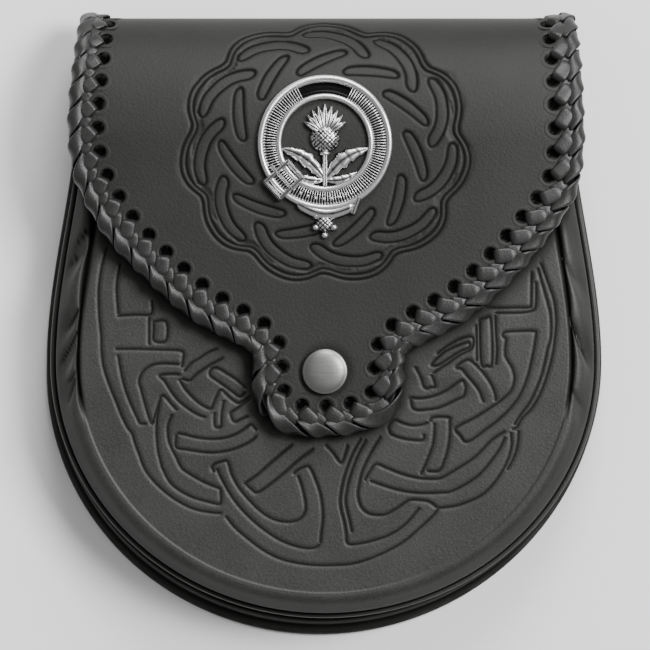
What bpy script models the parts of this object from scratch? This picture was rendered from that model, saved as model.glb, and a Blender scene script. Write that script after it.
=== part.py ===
"""A black leather day sporran, lying on its back with its flap snapped shut.

Metres. +X is to the right, +Y runs up the pouch to the fold of the flap, and +Z points out of the front.
Z = 0 is the surface that it lies on: it touches there with its two belt loops and the foot of its back.
"""

import math

import bmesh
import bpy
import numpy as np
from mathutils import Matrix, Vector

# Sizes of the pouch, seen from the front
WIDEST_Y = -0.0128  # height at which the pouch is widest
MOUTH_Y = 0.0772  # upper edge of the pouch front and of the gusset
FACE_HALF_WIDTH = 0.0810  # embossed front face, out to its crease
FACE_FOOT = 0.0757  # from the widest height down to the foot of the crease
WALL_RUN = 0.0092  # from the crease out to the edge of the lip, at the sides
WALL_RUN_FOOT = 0.0082  # and at the foot
BACK_SPREAD_SIDE = 0.0004  # how far the back panel shows beyond the lip at the sides
BACK_SPREAD_FOOT = 0.0055  # and at the foot
BACK_SPREAD_TURN = math.radians(14)  # turned towards the left by this much round the foot
MOUTH_NARROWING = 0.0104  # how much narrower each side is at the mouth

# Levels of the pouch, seen from the side
FOLD_TOP_Y = 0.1002  # crest of the fold, the top of the sporran
FOLD_RADIUS = 0.0064  # outside of the fold, from the back panel to its crest
BROW_LENGTH = 0.0400  # over which the flap rounds from the crest to its level part
FLAP_Z = 0.0402  # outside of the flap where it lies level
BACK_RISE = 0.0093  # height of the back panel's outside at the fold
LIP_Z = 0.0178  # top of the lip that the front and the gusset are sewn along
FACE_Z = 0.0328  # the crease of the front face at the widest height
FACE_FALL = 0.0062  # how much lower the crease is at the mouth
FACE_CROWN = 0.0012  # how far the middle of the face stands above its crease
GUSSET_TUCK = 0.0036  # how far the gusset's wall lies inside the lip
TAB_RUN = 0.0300  # length of the tab's end that dips
TAB_DROP = 0.0007  # how far it dips
FLAP_DROOP = 0.0016  # how far the flap's sides hang
DROOP_RUN = 0.0300  # distance from the crest over which that starts

# The line of lacing holes, which the flap's outline follows
HOLE_HALF_WIDTH = 0.0750  # widest distance of a hole from the middle
HOLE_DROP = 0.1273  # height from the crest of the fold to the lowest holes

# Leather, gaps and lacing
FLAP_LEATHER = 0.0024
FRONT_LEATHER = 0.0020
GUSSET_LEATHER = 0.0014
LOOP_LEATHER = 0.0020
GAP = 0.0003  # left between pieces that touch
LACE = 0.0011  # thickness of the lace
STITCHES = 45
HOLE_INSET = 0.0079  # from the flap's edge to the middle of a hole
HOLE_RADIUS = 0.0021
LACE_OVERHANG = 0.0022  # how far the braid stands beyond the flap's edge
LACE_BEHIND = 0.0040  # how far the lacing goes on behind the crest of the fold
LACE_LIFT = 0.0005  # room between the braid and the faces of the leather
LACE_SLACK = 0.0008  # room between the braid and the leather's edge

# Snap fastener
SNAP_BELOW_FOLD = 0.1159  # from the crest of the fold down to the snap
SNAP_Y = FOLD_TOP_Y - SNAP_BELOW_FOLD
CAP_RADIUS = 0.00755
CAP_HEIGHT = 0.0030
SNAP_POST_RADIUS = 0.0019
SNAP_FLANGE_RADIUS = 0.0052
SOCKET_RADIUS = 0.0042
SOCKET_BORE = 0.0030
SNAP_PLATE = 0.0006
STUD_RADIUS = 0.0025
STUD_NECK = 0.0018
SNAP_SIDES = 16

# Badge
BADGE_BELOW_FOLD = 0.0412  # from the crest of the fold down to the ring's centre
BADGE_Y = FOLD_TOP_Y - BADGE_BELOW_FOLD
BADGE_RADIUS = 0.0221
BADGE_BAND_INNER = 0.0141  # the ring's opening
RIM_WIDTH = 0.0021
INNER_RIM_WIDTH = 0.0014
BADGE_PLATE = 0.0012
PLATE_INSET = 0.0002  # how far the plate stays inside the rims' edges
PLATE_STEP = 0.00012  # each layer of the badge starts this much above the one before it
RIM_HEIGHT = 0.0022
MOTIF_HEIGHT = 0.0026
BADGE_DROP = 0.0312  # from the ring's centre to the tip of its pendant
PENDANT_HALF_WIDTH = 0.0050
PENDANT_LAP = 0.0015  # how far the pendant laps the ring
BUCKLE_HALF_WIDTH = 0.0034
BUCKLE_TURN = math.radians(222)  # place of the buckle round the ring
BADGE_POST_RADIUS = 0.0009
BADGE_POST_SPREAD = 0.0176
BADGE_SIDES = 32
BULB_SIDES = 18
POST_SIDES = 10

# Belt loops on the back
LOOP_X = 0.0420  # centre of each loop from the middle
LOOP_WIDTH = 0.0220
LOOP_BELOW_FOLD = 0.0112  # from the crest of the fold down to the loops' upper ends
LOOP_TOP_Y = FOLD_TOP_Y - LOOP_BELOW_FOLD
LOOP_LENGTH = 0.0520
LOOP_TAB = 0.0070  # the sewn ends of a loop
LOOP_RAMP = 0.0030

# Steps along the curves
FOOT_STEPS = 9
FLANK_STEPS = 8
FRONT_FLANK_STEPS = 18
FACE_COLUMNS = 6
SHEET_COLUMNS = 6
FOLD_ROWS = 4
ROW_TOLERANCE = 0.00025
HOLE_SIDES = 8
STITCH_STEPS = 3
STITCH_SAMPLES = 8  # places on the hole line for each step of a stitch
EDGE_STEPS = 12  # places on the flap's edge for each stitch
EDGE_SAMPLES = 240
SPLINE_STEPS = 12
PROFILE_STEPS = 120
SLOPE_STEP = 0.0002  # distance over which the leather's slope is measured
ROD_TURN = 0.2  # keeps a cutter's edges off those of the sheet
CUTTER_LEATHERS = 6.0  # length of a cutter, as a share of the flap's leather
SMOOTH_ANGLE = math.radians(40)  # edges sharper than this are shaded sharp

# Section of the front's border, from the crease to the lip:
# share of WALL_RUN outwards, share of the height from lip to crease
WALL_SECTION = [
    # out, up
    (0.00, 1.00),
    (0.16, 1.02),
    (0.46, 0.90),
    (0.68, 0.66),
    (0.80, 0.34),
    (0.80, 0.00),
    (1.00, 0.00),
]

PLEAT_END = 0.80  # share of the way from the crease to the lip at which the border's folds end
PLEAT_SINK = 0.60  # how far a fold sinks, as a share of how far it goes in
SPREAD_POWER = 1.5  # how closely the back panel's spread keeps to the foot

# Last row of the back panel: shares of the row before it, across and up from the lowest point
FOOT_ROW = (0.55, 0.16)

# Folds in the border's side walls: side (1 right, -1 left), height as a share of the way from the
# widest height to the mouth (minus is below), slant down the wall as a share of the same way,
# depth and half width as shares of WALL_RUN
PLEATS = [
    # side, height, slant, depth, spread
    (-1, 0.45, 0.16, 0.16, 0.50),
    (-1, 0.19, 0.12, 0.15, 0.50),
    (-1, 0.08, 0.16, 0.16, 0.50),
    (-1, -0.05, 0.10, 0.10, 0.50),
    (1, 0.36, 0.12, 0.10, 0.50),
    (1, 0.16, 0.20, 0.17, 0.50),
    (1, -0.11, 0.12, 0.08, 0.50),
]

# The line of lacing holes, down the left side, round the tab and up the right side: share of
# HOLE_HALF_WIDTH (minus is left), share of HOLE_DROP down from the crest of the fold,
# share of HOLE_INSET out to the leather's edge
HOLE_LINE = [
    # across, down, inset
    (-0.933, 0.000, 0.93),
    (-0.968, 0.100, 0.93),
    (-0.992, 0.243, 0.93),
    (-0.984, 0.346, 0.95),
    (-0.947, 0.412, 1.00),
    (-0.840, 0.514, 1.08),
    (-0.684, 0.610, 1.10),
    (-0.513, 0.699, 1.10),
    (-0.360, 0.754, 1.06),
    (-0.267, 0.789, 1.00),
    (-0.208, 0.828, 0.95),
    (-0.187, 0.879, 0.94),
    (-0.188, 0.927, 0.94),
    (-0.168, 0.976, 0.95),
    (-0.101, 0.998, 0.95),
    (0.008, 1.000, 0.95),
    (0.121, 0.991, 0.95),
    (0.195, 0.971, 0.95),
    (0.212, 0.921, 0.94),
    (0.216, 0.880, 0.94),
    (0.241, 0.825, 0.95),
    (0.307, 0.785, 1.00),
    (0.400, 0.752, 1.06),
    (0.543, 0.703, 1.10),
    (0.715, 0.613, 1.10),
    (0.873, 0.504, 1.08),
    (0.971, 0.419, 1.00),
    (1.000, 0.323, 0.95),
    (1.000, 0.224, 0.93),
    (0.989, 0.102, 0.93),
    (0.960, 0.000, 0.93),
]

# Section of the lacing: share of HOLE_INSET inwards from the flap's edge (minus is a share of
# LACE_OVERHANG outwards), face that the point lies off (1 front, 0 middle, -1 back), and its
# distance off that face as a share of LACE
LACE_SECTION = [
    # inwards, face, off
    (1.00, 1, 1.00),
    (0.40, 1, 1.55),
    (-0.35, 1, 1.25),
    (-1.00, 0, 0.00),
    (-0.35, -1, 1.10),
    (0.90, -1, 1.00),
]
VALLEY_REACH = 0.62  # how far the lacing reaches between two holes, as a share of its reach at a hole
VALLEY_HEIGHT = 0.72  # its height there, as a share of its height at a hole
STITCH_SLANT = 0.55  # how far a stitch leans along the edge, as a share of the pitch

# Left half of the badge's pendant, from the ring to its tip: shares of PENDANT_HALF_WIDTH and of its length
PENDANT = [
    # across, up
    (-0.62, 0.00),
    (-0.62, -0.30),
    (-1.00, -0.42),
    (-0.78, -0.74),
    (0.00, -1.00),
]

# The buckle's outline, and its opening as shares of that: along the strap, across it
BUCKLE = (1.00, 1.45)
BUCKLE_OPENING = (0.52, 0.66)

# The thistle, in shares of the radius that it fits in
TUFT_SPIKES = 13
TUFT_ANGLES = (20.0, 160.0)  # degrees
TUFT_REACH = (0.88, 0.72)  # of a spike, of the notch beside it
TUFT_WIDTH = 0.62
TUFT_SEAT = 0.06
BULB = (0.33, 0.10)  # radius, height
BULB_NECK = 0.20
STEM = (0.07, 0.05, 1.06)  # half width at the bulb, half width at the foot, length
LEAF_ROOT = (0.02, -0.74)
LEAF_TIP = (0.95, -0.02)
LEAF_WIDTH = 0.20
LEAF_TEETH = 4
LEAF_NOTCH = 0.62  # width between two teeth, as a share of the width at a tooth

# Colours of the materials
LEATHER_BLACK = (0.035, 0.036, 0.035)
LEATHER_ROUGHNESS = 0.50
LACE_BLACK = (0.045, 0.046, 0.045)
LACE_ROUGHNESS = 0.45
PEWTER = (0.46, 0.46, 0.46)
PEWTER_ROUGHNESS = 0.35
SNAP_GREY = (0.40, 0.40, 0.39)
SNAP_ROUGHNESS = 0.45

PIECES = bpy.data.collections.new("sporran_pouch")
CUTTERS = bpy.data.collections.new("cutters")


def clear_scene():
    for obj in list(bpy.data.objects):
        bpy.data.objects.remove(obj)
    for collection in (PIECES, CUTTERS):
        bpy.context.scene.collection.children.link(collection)


def coloured(mesh, colour, roughness, metallic=0.0):
    """Gives a mesh a material of its own, named for it."""
    made = bpy.data.materials.new(mesh.name + "_finish")
    made.use_nodes = True
    shader = made.node_tree.nodes["Principled BSDF"]
    shader.inputs["Base Color"].default_value = (*colour, 1.0)
    shader.inputs["Roughness"].default_value = roughness
    shader.inputs["Metallic"].default_value = metallic
    mesh.materials.clear()
    mesh.materials.append(made)


def smooth_step(share):
    share = np.clip(share, 0.0, 1.0)
    return share * share * (3.0 - 2.0 * share)


def add_grid(bm, points):
    """Quads over an array of points, rows by columns. They face along (next column) x (next row)."""
    rows, columns = points.shape[:2]
    verts = [[bm.verts.new(p) for p in row] for row in points]
    for r in range(rows - 1):
        for c in range(columns - 1):
            bm.faces.new((verts[r][c], verts[r][c + 1], verts[r + 1][c + 1], verts[r + 1][c]))


def sheet_object(name, grids, thickness):
    """A leather piece: open grids that share their borders, thickened on the side away from their faces."""
    bm = bmesh.new()
    for points in grids:
        add_grid(bm, points)
    bmesh.ops.remove_doubles(bm, verts=bm.verts, dist=1e-6)
    mesh = bpy.data.meshes.new(name)
    bm.to_mesh(mesh)
    bm.free()
    mesh.shade_smooth()
    coloured(mesh, LEATHER_BLACK, LEATHER_ROUGHNESS)
    obj = bpy.data.objects.new(name, mesh)
    PIECES.objects.link(obj)
    wall = obj.modifiers.new("leather", "SOLIDIFY")
    wall.thickness = thickness
    wall.offset = -1.0
    wall.use_even_offset = True
    return obj


def cut(obj, cutter):
    step = obj.modifiers.new("cut", "BOOLEAN")
    step.operation = "DIFFERENCE"
    step.object = cutter


def cutter_rods(name, rods, radius, sides):
    """One cutter made of round rods, each given by a point and the direction of its axis."""
    length = CUTTER_LEATHERS * FLAP_LEATHER
    bm = bmesh.new()
    for point, axis in rods:
        turn = axis.to_track_quat("Z", "Y").to_matrix().to_4x4() @ Matrix.Rotation(ROD_TURN, 4, "Z")
        turn.translation = point
        bmesh.ops.create_cone(
            bm, cap_ends=True, segments=sides, radius1=radius, radius2=radius, depth=length, matrix=turn
        )
    mesh = bpy.data.meshes.new(name)
    bm.to_mesh(mesh)
    bm.free()
    obj = bpy.data.objects.new(name, mesh)
    obj.hide_render = True
    obj.display_type = "WIRE"
    CUTTERS.objects.link(obj)
    return obj


def rods_through_flap(name, places, radius, sides):
    """Round rods square to the flap's leather at places given as (x, down)."""
    points = sheet_point(places[:, 0], places[:, 1])
    normals = sheet_normal(places[:, 0], places[:, 1])
    rods = [(Vector(point), Vector(normal)) for point, normal in zip(points, normals)]
    return cutter_rods(name, rods, radius, sides)


def outline(half_width, foot, narrowing, flank_steps):
    """A U-shaped outline as (x, y): down the right side from the mouth, round the foot, up the left side."""
    angle = np.radians(np.linspace(0.0, 90.0, FOOT_STEPS + 1))
    rise = np.linspace(0.0, 1.0, flank_steps + 1)[1:]
    x = np.concatenate([half_width * np.sin(angle), half_width - narrowing * smooth_step(rise)])
    y = np.concatenate([WIDEST_Y - foot * np.cos(angle), WIDEST_Y + rise * (MOUTH_Y - WIDEST_Y)])
    right = np.stack([x, y], axis=1)[::-1]
    left = right[::-1][1:] * np.array([-1.0, 1.0])
    return np.concatenate([right, left])


def front_outline(out, flank_steps=FLANK_STEPS):
    """The front at a share of the way out from its crease to the edge of its lip."""
    half_width = FACE_HALF_WIDTH + out * WALL_RUN
    return outline(half_width, FACE_FOOT + out * WALL_RUN_FOOT, MOUTH_NARROWING, flank_steps)


def moved_in(line, distance):
    """A U-shaped outline moved towards its inside."""
    along = np.gradient(line, axis=0)
    along /= np.linalg.norm(along, axis=1, keepdims=True)
    return line + np.column_stack([along[:, 1], -along[:, 0]]) * np.reshape(distance, (-1, 1))


def back_outline():
    """The back panel's edge: the lip's edge, spread most round the foot and a little to the left of it."""
    lip = front_outline(1.0)
    round_foot = np.arctan2(lip[:, 0], WIDEST_Y - lip[:, 1])
    round_foot = np.clip(round_foot, -math.pi / 2.0, math.pi / 2.0)
    share = np.clip(np.cos(round_foot + BACK_SPREAD_TURN), 0.0, 1.0) ** SPREAD_POWER
    return moved_in(lip, -BACK_SPREAD_SIDE - (BACK_SPREAD_FOOT - BACK_SPREAD_SIDE) * share)


def crease_z(y):
    """Height of the front's crease: level below the widest height, falling towards the mouth."""
    share = np.clip((y - WIDEST_Y) / (MOUTH_Y - WIDEST_Y), 0.0, 1.0)
    return FACE_Z - FACE_FALL * share**2


def face_z(x, y):
    """Height of the front face: its crease plus a low crown."""
    foot_share = np.clip((WIDEST_Y - y) / FACE_FOOT, 0.0, 1.0)
    narrowed = FACE_HALF_WIDTH - MOUTH_NARROWING * smooth_step((y - WIDEST_Y) / (MOUTH_Y - WIDEST_Y))
    return crease_z(y) + FACE_CROWN * np.clip(1.0 - (x / narrowed) ** 2 - foot_share**2, 0.0, 1.0)


def pleat_depth(x, y, out):
    """How far the folds push the wall in, at a share out of the way from the crease to the lip."""
    way = MOUTH_Y - WIDEST_Y
    depth = np.zeros_like(x)
    for side, height, slant, deep, spread in PLEATS:
        middle = WIDEST_Y + (height - slant * out) * way
        near = np.exp(-(((y - middle) / (spread * WALL_RUN)) ** 2))
        depth += np.where(np.sign(x) == side, deep * WALL_RUN * near, 0.0)
    return depth * math.sin(math.pi * min(1.0, out / PLEAT_END))


def pouch_front():
    """The moulded front: embossed face, rounded border and a lip turned outwards. Open at the mouth."""
    rings = []
    for out, up in WALL_SECTION:
        x, y = front_outline(out, FRONT_FLANK_STEPS).T
        push = pleat_depth(x, y, out)
        z = LIP_Z + up * (crease_z(y) - LIP_Z) - PLEAT_SINK * push
        rings.append(np.stack([x - np.sign(x) * push, y, z], axis=1))
    border = np.array(rings)
    crease = border[0]
    half = len(crease) // 2
    rows = []
    for right, left in zip(crease[: half + 1], crease[::-1][: half + 1]):
        share = np.linspace(0.0, 1.0, FACE_COLUMNS + 1)[:, None]
        row = right * (1.0 - share) + left * share
        row[1:-1, 2] = face_z(row[1:-1, 0], row[1:-1, 1])
        rows.append(row)
    rows[-1][:, 2] = crease[half, 2]
    return sheet_object("pouch_front", [np.array(rows), border], FRONT_LEATHER)


def gusset():
    """The band between the lip and the back: a wall with both edges turned outwards to be sewn."""
    top = LIP_Z - FRONT_LEATHER - GAP - GUSSET_LEATHER
    rows = []
    for flat, level in (
        (moved_in(front_outline(1.0), GAP), 1.0),
        (moved_in(front_outline(1.0), GUSSET_TUCK), 1.0),
        (moved_in(front_outline(1.0), GUSSET_TUCK + GAP), 0.5),
        (moved_in(back_outline(), GUSSET_TUCK + BACK_SPREAD_SIDE), 0.0),
        (moved_in(back_outline(), BACK_SPREAD_SIDE), 0.0),
    ):
        low = back_z(flat[:, 1]) + FLAP_LEATHER + GAP + GUSSET_LEATHER
        rows.append(np.column_stack([flat, low + level * (top - low)]))
    return sheet_object("gusset", [np.array(rows)], GUSSET_LEATHER)


def back_foot_y():
    return WIDEST_Y - FACE_FOOT - WALL_RUN_FOOT - BACK_SPREAD_FOOT


def back_z(y):
    """Height of the back panel's outside, which leans up from its foot to the fold."""
    return BACK_RISE * (y - back_foot_y()) / (FOLD_TOP_Y - FOLD_RADIUS - back_foot_y())


def middle_line():
    """The outside of the fold and flap seen from the side: distance along the leather from the crest (minus
    is behind it), y and z. A quarter round, a quarter ellipse, then level with a dip at the tab."""
    turn = np.linspace(0.0, math.pi / 2.0, PROFILE_STEPS)
    crest_z = BACK_RISE + FOLD_RADIUS
    level_y = FOLD_TOP_Y - BROW_LENGTH
    fold_y = FOLD_TOP_Y - FOLD_RADIUS + FOLD_RADIUS * np.sin(turn)
    fold_z = crest_z - FOLD_RADIUS * np.cos(turn)
    brow_y = level_y + BROW_LENGTH * np.cos(turn[1:])
    brow_z = crest_z + (FLAP_Z - crest_z) * np.sin(turn[1:])
    flat_y = np.linspace(level_y, FOLD_TOP_Y - HOLE_DROP - 2.0 * HOLE_INSET, PROFILE_STEPS)[1:]
    dip_from = FOLD_TOP_Y - HOLE_DROP - HOLE_INSET + TAB_RUN
    flat_z = FLAP_Z - TAB_DROP * np.clip((dip_from - flat_y) / TAB_RUN, 0.0, 2.0) ** 2
    y = np.concatenate([fold_y, brow_y, flat_y])
    z = np.concatenate([fold_z, brow_z, flat_z])
    length = np.concatenate([[0.0], np.cumsum(np.hypot(np.diff(y), np.diff(z)))])
    return length - length[PROFILE_STEPS - 1], y, z


LINE_DOWN, LINE_Y, LINE_Z = middle_line()


def down_at(y):
    """Distance down the flap from the crest to a height y."""
    ahead = LINE_DOWN >= 0.0
    return np.interp(-np.asarray(y, float), -LINE_Y[ahead], LINE_DOWN[ahead])


def sheet_point(x, down):
    """A point on the outside of the flap, at a distance down it from the crest. Its sides hang."""
    x, down = np.broadcast_arrays(np.asarray(x, float), np.asarray(down, float))
    z = np.interp(down, LINE_DOWN, LINE_Z)
    z = z - FLAP_DROOP * (np.abs(x) / HOLE_HALF_WIDTH) ** 4 * smooth_step(down / DROOP_RUN)
    return np.stack([x, np.interp(down, LINE_DOWN, LINE_Y), z], axis=-1)


def sheet_normal(x, down):
    across = sheet_point(x + SLOPE_STEP, down) - sheet_point(x - SLOPE_STEP, down)
    along = sheet_point(x, down - SLOPE_STEP) - sheet_point(x, down + SLOPE_STEP)
    normal = np.cross(across, along)
    return normal / np.linalg.norm(normal, axis=-1, keepdims=True)


def flap_z(x, y):
    return float(sheet_point(x, down_at(y))[2])


def spline(points, steps):
    """A Catmull-Rom curve through the points, with a number of steps between each two."""
    ends = np.concatenate([[2 * points[0] - points[1]], points, [2 * points[-1] - points[-2]]])
    t = np.linspace(0.0, 1.0, steps, endpoint=False)[:, None]
    made = []
    for before, a, b, after in zip(ends, ends[1:], ends[2:], ends[3:]):
        slope = (b - before) * t
        bend = (2 * before - 5 * a + 4 * b - after) * t**2
        twist = (3 * a - before - 3 * b + after) * t**3
        made.append(0.5 * (2 * a + slope + bend + twist))
    return np.concatenate([*made, points[-1:]])


def lacing_line(steps):
    """The hole line as (x, down) with its inset, in even steps, and the directions out to the flap's edge."""
    table = np.array(HOLE_LINE)
    x = table[:, 0] * HOLE_HALF_WIDTH
    down = down_at(FOLD_TOP_Y - table[:, 1] * HOLE_DROP)
    line = spline(np.column_stack([x, down, table[:, 2] * HOLE_INSET]), SPLINE_STEPS)
    line = np.concatenate([line[:1] - [0.0, LACE_BEHIND, 0.0], line, line[-1:] - [0.0, LACE_BEHIND, 0.0]])
    length = np.concatenate([[0.0], np.cumsum(np.hypot(*np.diff(line[:, :2], axis=0).T))])
    at = np.linspace(0.0, length[-1], steps)
    line = np.column_stack([np.interp(at, length, line[:, k]) for k in (0, 1, 2)])
    along = np.gradient(line[:, :2], axis=0)
    along /= np.linalg.norm(along, axis=1, keepdims=True)
    return line, np.column_stack([-along[:, 1], along[:, 0]])


def hole_places():
    """Middle of each lacing hole as (x, down), a stitch apart."""
    line, _ = lacing_line(2 * STITCHES + 1)
    return line[1::2, :2]


def flap_edge():
    """The edge of the flap's leather as (x, down), in even steps of the hole line."""
    line, out = lacing_line(EDGE_STEPS * STITCHES + 1)
    return line[:, :2] + out * line[:, 2:]


def row_levels(edges, tolerance):
    """Distances down the flap for its rows, so that each edge keeps within a tolerance of its curve."""
    fine = np.linspace(0.0, min(edge[:, 1].max() for edge in edges), EDGE_SAMPLES)
    tracks = [sheet_point(np.interp(fine, edge[:, 1], edge[:, 0]), fine) for edge in edges]
    levels = [0]
    while levels[-1] < len(fine) - 1:
        start = levels[-1]
        best = start + 1
        for stop in range(start + 2, len(fine)):
            share = np.linspace(0.0, 1.0, stop - start + 1)[:, None]
            chords = [track[start] * (1.0 - share) + track[stop] * share for track in tracks]
            off = max(np.abs(track[start : stop + 1] - chord).max() for track, chord in zip(tracks, chords))
            if off > tolerance:
                break
            best = stop
        levels.append(best)
    return fine[levels]


def back_and_flap(cutters):
    """One piece of leather: the back panel, the fold over the top and the flap with its tab."""
    share = (0.5 - 0.5 * np.cos(np.linspace(0.0, math.pi, SHEET_COLUMNS + 1)))[:, None]
    outside = back_outline()
    half = len(outside) // 2
    rights = outside[:half][::-1]
    lefts = outside[half + 1 :]
    rows = []
    foot = outside[half] * [0.0, 1.0]
    foot_right, foot_left = (foot + (side[0] - outside[half]) * FOOT_ROW for side in (rights, lefts))
    for right, left in zip([foot_right, *rights], [foot_left, *lefts]):
        row = right * (1.0 - share) + left * share
        rows.append(np.column_stack([row, back_z(row[:, 1])]))
    edge = flap_edge()
    end = int(np.argmax(edge[:, 1]))
    edges = [edge[: end + 1], edge[end:][::-1]]
    behind = np.linspace(LINE_DOWN[0], 0.0, FOLD_ROWS + 1)
    for down in np.concatenate([behind, row_levels(edges, ROW_TOLERANCE)[1:]]):
        left, right = (float(np.interp(down, side[:, 1], side[:, 0])) for side in edges)
        rows.append(sheet_point(right * (1.0 - share[:, 0]) + left * share[:, 0], np.full(len(share), down)))
    obj = sheet_object("back_and_flap", [np.array(rows)], FLAP_LEATHER)
    for cutter in cutters:
        cut(obj, cutter)
    return obj


def flap_lacing():
    """The lace wound round the flap's edge, as one braid: a stitch reaches to each hole, front and back."""
    samples = STITCH_STEPS * STITCH_SAMPLES
    dense, dense_out = lacing_line(STITCHES * samples + 1)
    stitch = np.arange(STITCHES * STITCH_STEPS + 1) / STITCH_STEPS
    at_hole = 0.5 - 0.5 * np.cos(2.0 * math.pi * stitch)
    reach = VALLEY_REACH + (1.0 - VALLEY_REACH) * at_hole
    height = VALLEY_HEIGHT + (1.0 - VALLEY_HEIGHT) * at_hole

    def place(inwards, rise):
        """Points a share of the inset in from the edge (minus is a share of the overhang beyond it)."""
        inwards = np.broadcast_to(inwards, len(stitch))
        slanted = stitch + STITCH_SLANT * (1.0 - np.clip(inwards, 0.0, 1.0))
        pick = np.clip(np.rint(slanted * samples).astype(int), 0, len(dense) - 1)
        line, out = dense[pick], dense_out[pick]
        flat = line[:, :2] + out * (line[:, 2] * (1.0 - np.clip(inwards, 0.0, 1.0)))[:, None]
        beyond = sheet_point(*(flat + out * SLOPE_STEP).T) - sheet_point(*flat.T)
        beyond /= np.linalg.norm(beyond, axis=1, keepdims=True)
        rise = np.broadcast_to(rise, len(stitch))[:, None]
        reached = beyond * (LACE_OVERHANG * np.clip(-inwards, 0.0, 1.0))[:, None]
        return sheet_point(*flat.T) + sheet_normal(*flat.T) * rise + reached

    ring = []
    for inwards, face, off in LACE_SECTION:
        inwards = inwards * reach if inwards > 0.0 else inwards
        rise = LACE_LIFT + off * LACE * height
        if face == 0:
            rise = -FLAP_LEATHER / 2.0
        ring.append(place(inwards, rise if face >= 0 else -FLAP_LEATHER - rise))
    slack = -LACE_SLACK / LACE_OVERHANG
    ring.append(place(LACE_SECTION[-1][0] * reach, -FLAP_LEATHER - LACE_LIFT))
    ring.append(place(slack, -FLAP_LEATHER - LACE_LIFT))
    ring.append(place(slack, LACE_LIFT))
    ring.append(place(reach, LACE_LIFT))

    rings = np.array(ring).transpose(1, 0, 2)
    bm = bmesh.new()
    verts = [[bm.verts.new(p) for p in section] for section in rings]
    count = len(rings[0])
    for a, b in zip(verts, verts[1:]):
        for k in range(count):
            bm.faces.new((a[k], a[(k + 1) % count], b[(k + 1) % count], b[k]))
    bm.faces.new(verts[0][::-1])
    bm.faces.new(verts[-1])
    bmesh.ops.recalc_face_normals(bm, faces=bm.faces)
    mesh = bpy.data.meshes.new("flap_lacing")
    bm.to_mesh(mesh)
    bm.free()
    mesh.shade_smooth()
    mesh.set_sharp_from_angle(angle=SMOOTH_ANGLE)
    coloured(mesh, LACE_BLACK, LACE_ROUGHNESS)
    obj = bpy.data.objects.new("flap_lacing", mesh)
    PIECES.objects.link(obj)
    return obj


def turned(name, profile, centre):
    """A solid turned about +Z through centre, from a (radius, height) profile that ends on the axis."""
    mesh = bpy.data.meshes.new(name)
    points = [(radius, 0.0, height) for radius, height in profile]
    mesh.from_pydata(points, [(k, k + 1) for k in range(len(points) - 1)], [])
    coloured(mesh, SNAP_GREY, SNAP_ROUGHNESS, 1.0)
    obj = bpy.data.objects.new(name, mesh)
    obj.location = centre
    PIECES.objects.link(obj)
    spin = obj.modifiers.new("turn", "SCREW")
    spin.axis = "Z"
    spin.steps = SNAP_SIDES
    spin.render_steps = SNAP_SIDES
    spin.use_merge_vertices = True
    spin.merge_threshold = 0.00001
    return obj


def snap_cap():
    """The domed cap on the flap, its post through the leather and the socket under it, in one piece."""
    top = flap_z(0.0, SNAP_Y)
    under = -FLAP_LEATHER - GAP - TAB_DROP / 4.0
    profile = [
        (0.0, GAP + CAP_HEIGHT),
        (0.42 * CAP_RADIUS, GAP + 0.95 * CAP_HEIGHT),
        (0.74 * CAP_RADIUS, GAP + 0.78 * CAP_HEIGHT),
        (0.94 * CAP_RADIUS, GAP + 0.46 * CAP_HEIGHT),
        (CAP_RADIUS, GAP + 0.16 * CAP_HEIGHT),
        (0.97 * CAP_RADIUS, GAP),
        (SNAP_POST_RADIUS, GAP),
        (SNAP_POST_RADIUS, under),
        (SNAP_FLANGE_RADIUS, under),
        (SNAP_FLANGE_RADIUS, under - SNAP_PLATE),
        (SOCKET_RADIUS, under - SNAP_PLATE),
        (SOCKET_RADIUS, socket_foot() - top),
        (SOCKET_BORE, socket_foot() - top),
        (SOCKET_BORE, under - SNAP_PLATE),
        (0.0, under - SNAP_PLATE),
    ]
    return turned("snap_cap", profile, (0.0, SNAP_Y, top))


def socket_foot():
    """Lower edge of the socket, a gap above the stud's plate."""
    return float(face_z(0.0, SNAP_Y)) + 2.0 * GAP + SNAP_PLATE


def snap_stud():
    """The stud on the pouch front that the socket grips, with a plate each side of the leather."""
    face = float(face_z(0.0, SNAP_Y))
    crown = flap_z(0.0, SNAP_Y) - FLAP_LEATHER - 2.0 * GAP - SNAP_PLATE - TAB_DROP / 4.0 - face
    under = -FRONT_LEATHER - GAP
    profile = [
        (0.0, crown),
        (0.72 * STUD_RADIUS, crown - 0.15 * STUD_RADIUS),
        (STUD_RADIUS, crown - 0.45 * STUD_RADIUS),
        (STUD_NECK, GAP + SNAP_PLATE + GAP),
        (STUD_NECK, GAP + SNAP_PLATE),
        (SNAP_FLANGE_RADIUS, GAP + SNAP_PLATE),
        (SNAP_FLANGE_RADIUS, GAP),
        (SNAP_POST_RADIUS, GAP),
        (SNAP_POST_RADIUS, under),
        (SNAP_FLANGE_RADIUS, under),
        (SNAP_FLANGE_RADIUS, under - SNAP_PLATE),
        (0.0, under - SNAP_PLATE),
    ]
    return turned("snap_stud", profile, (0.0, SNAP_Y, face))


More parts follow.
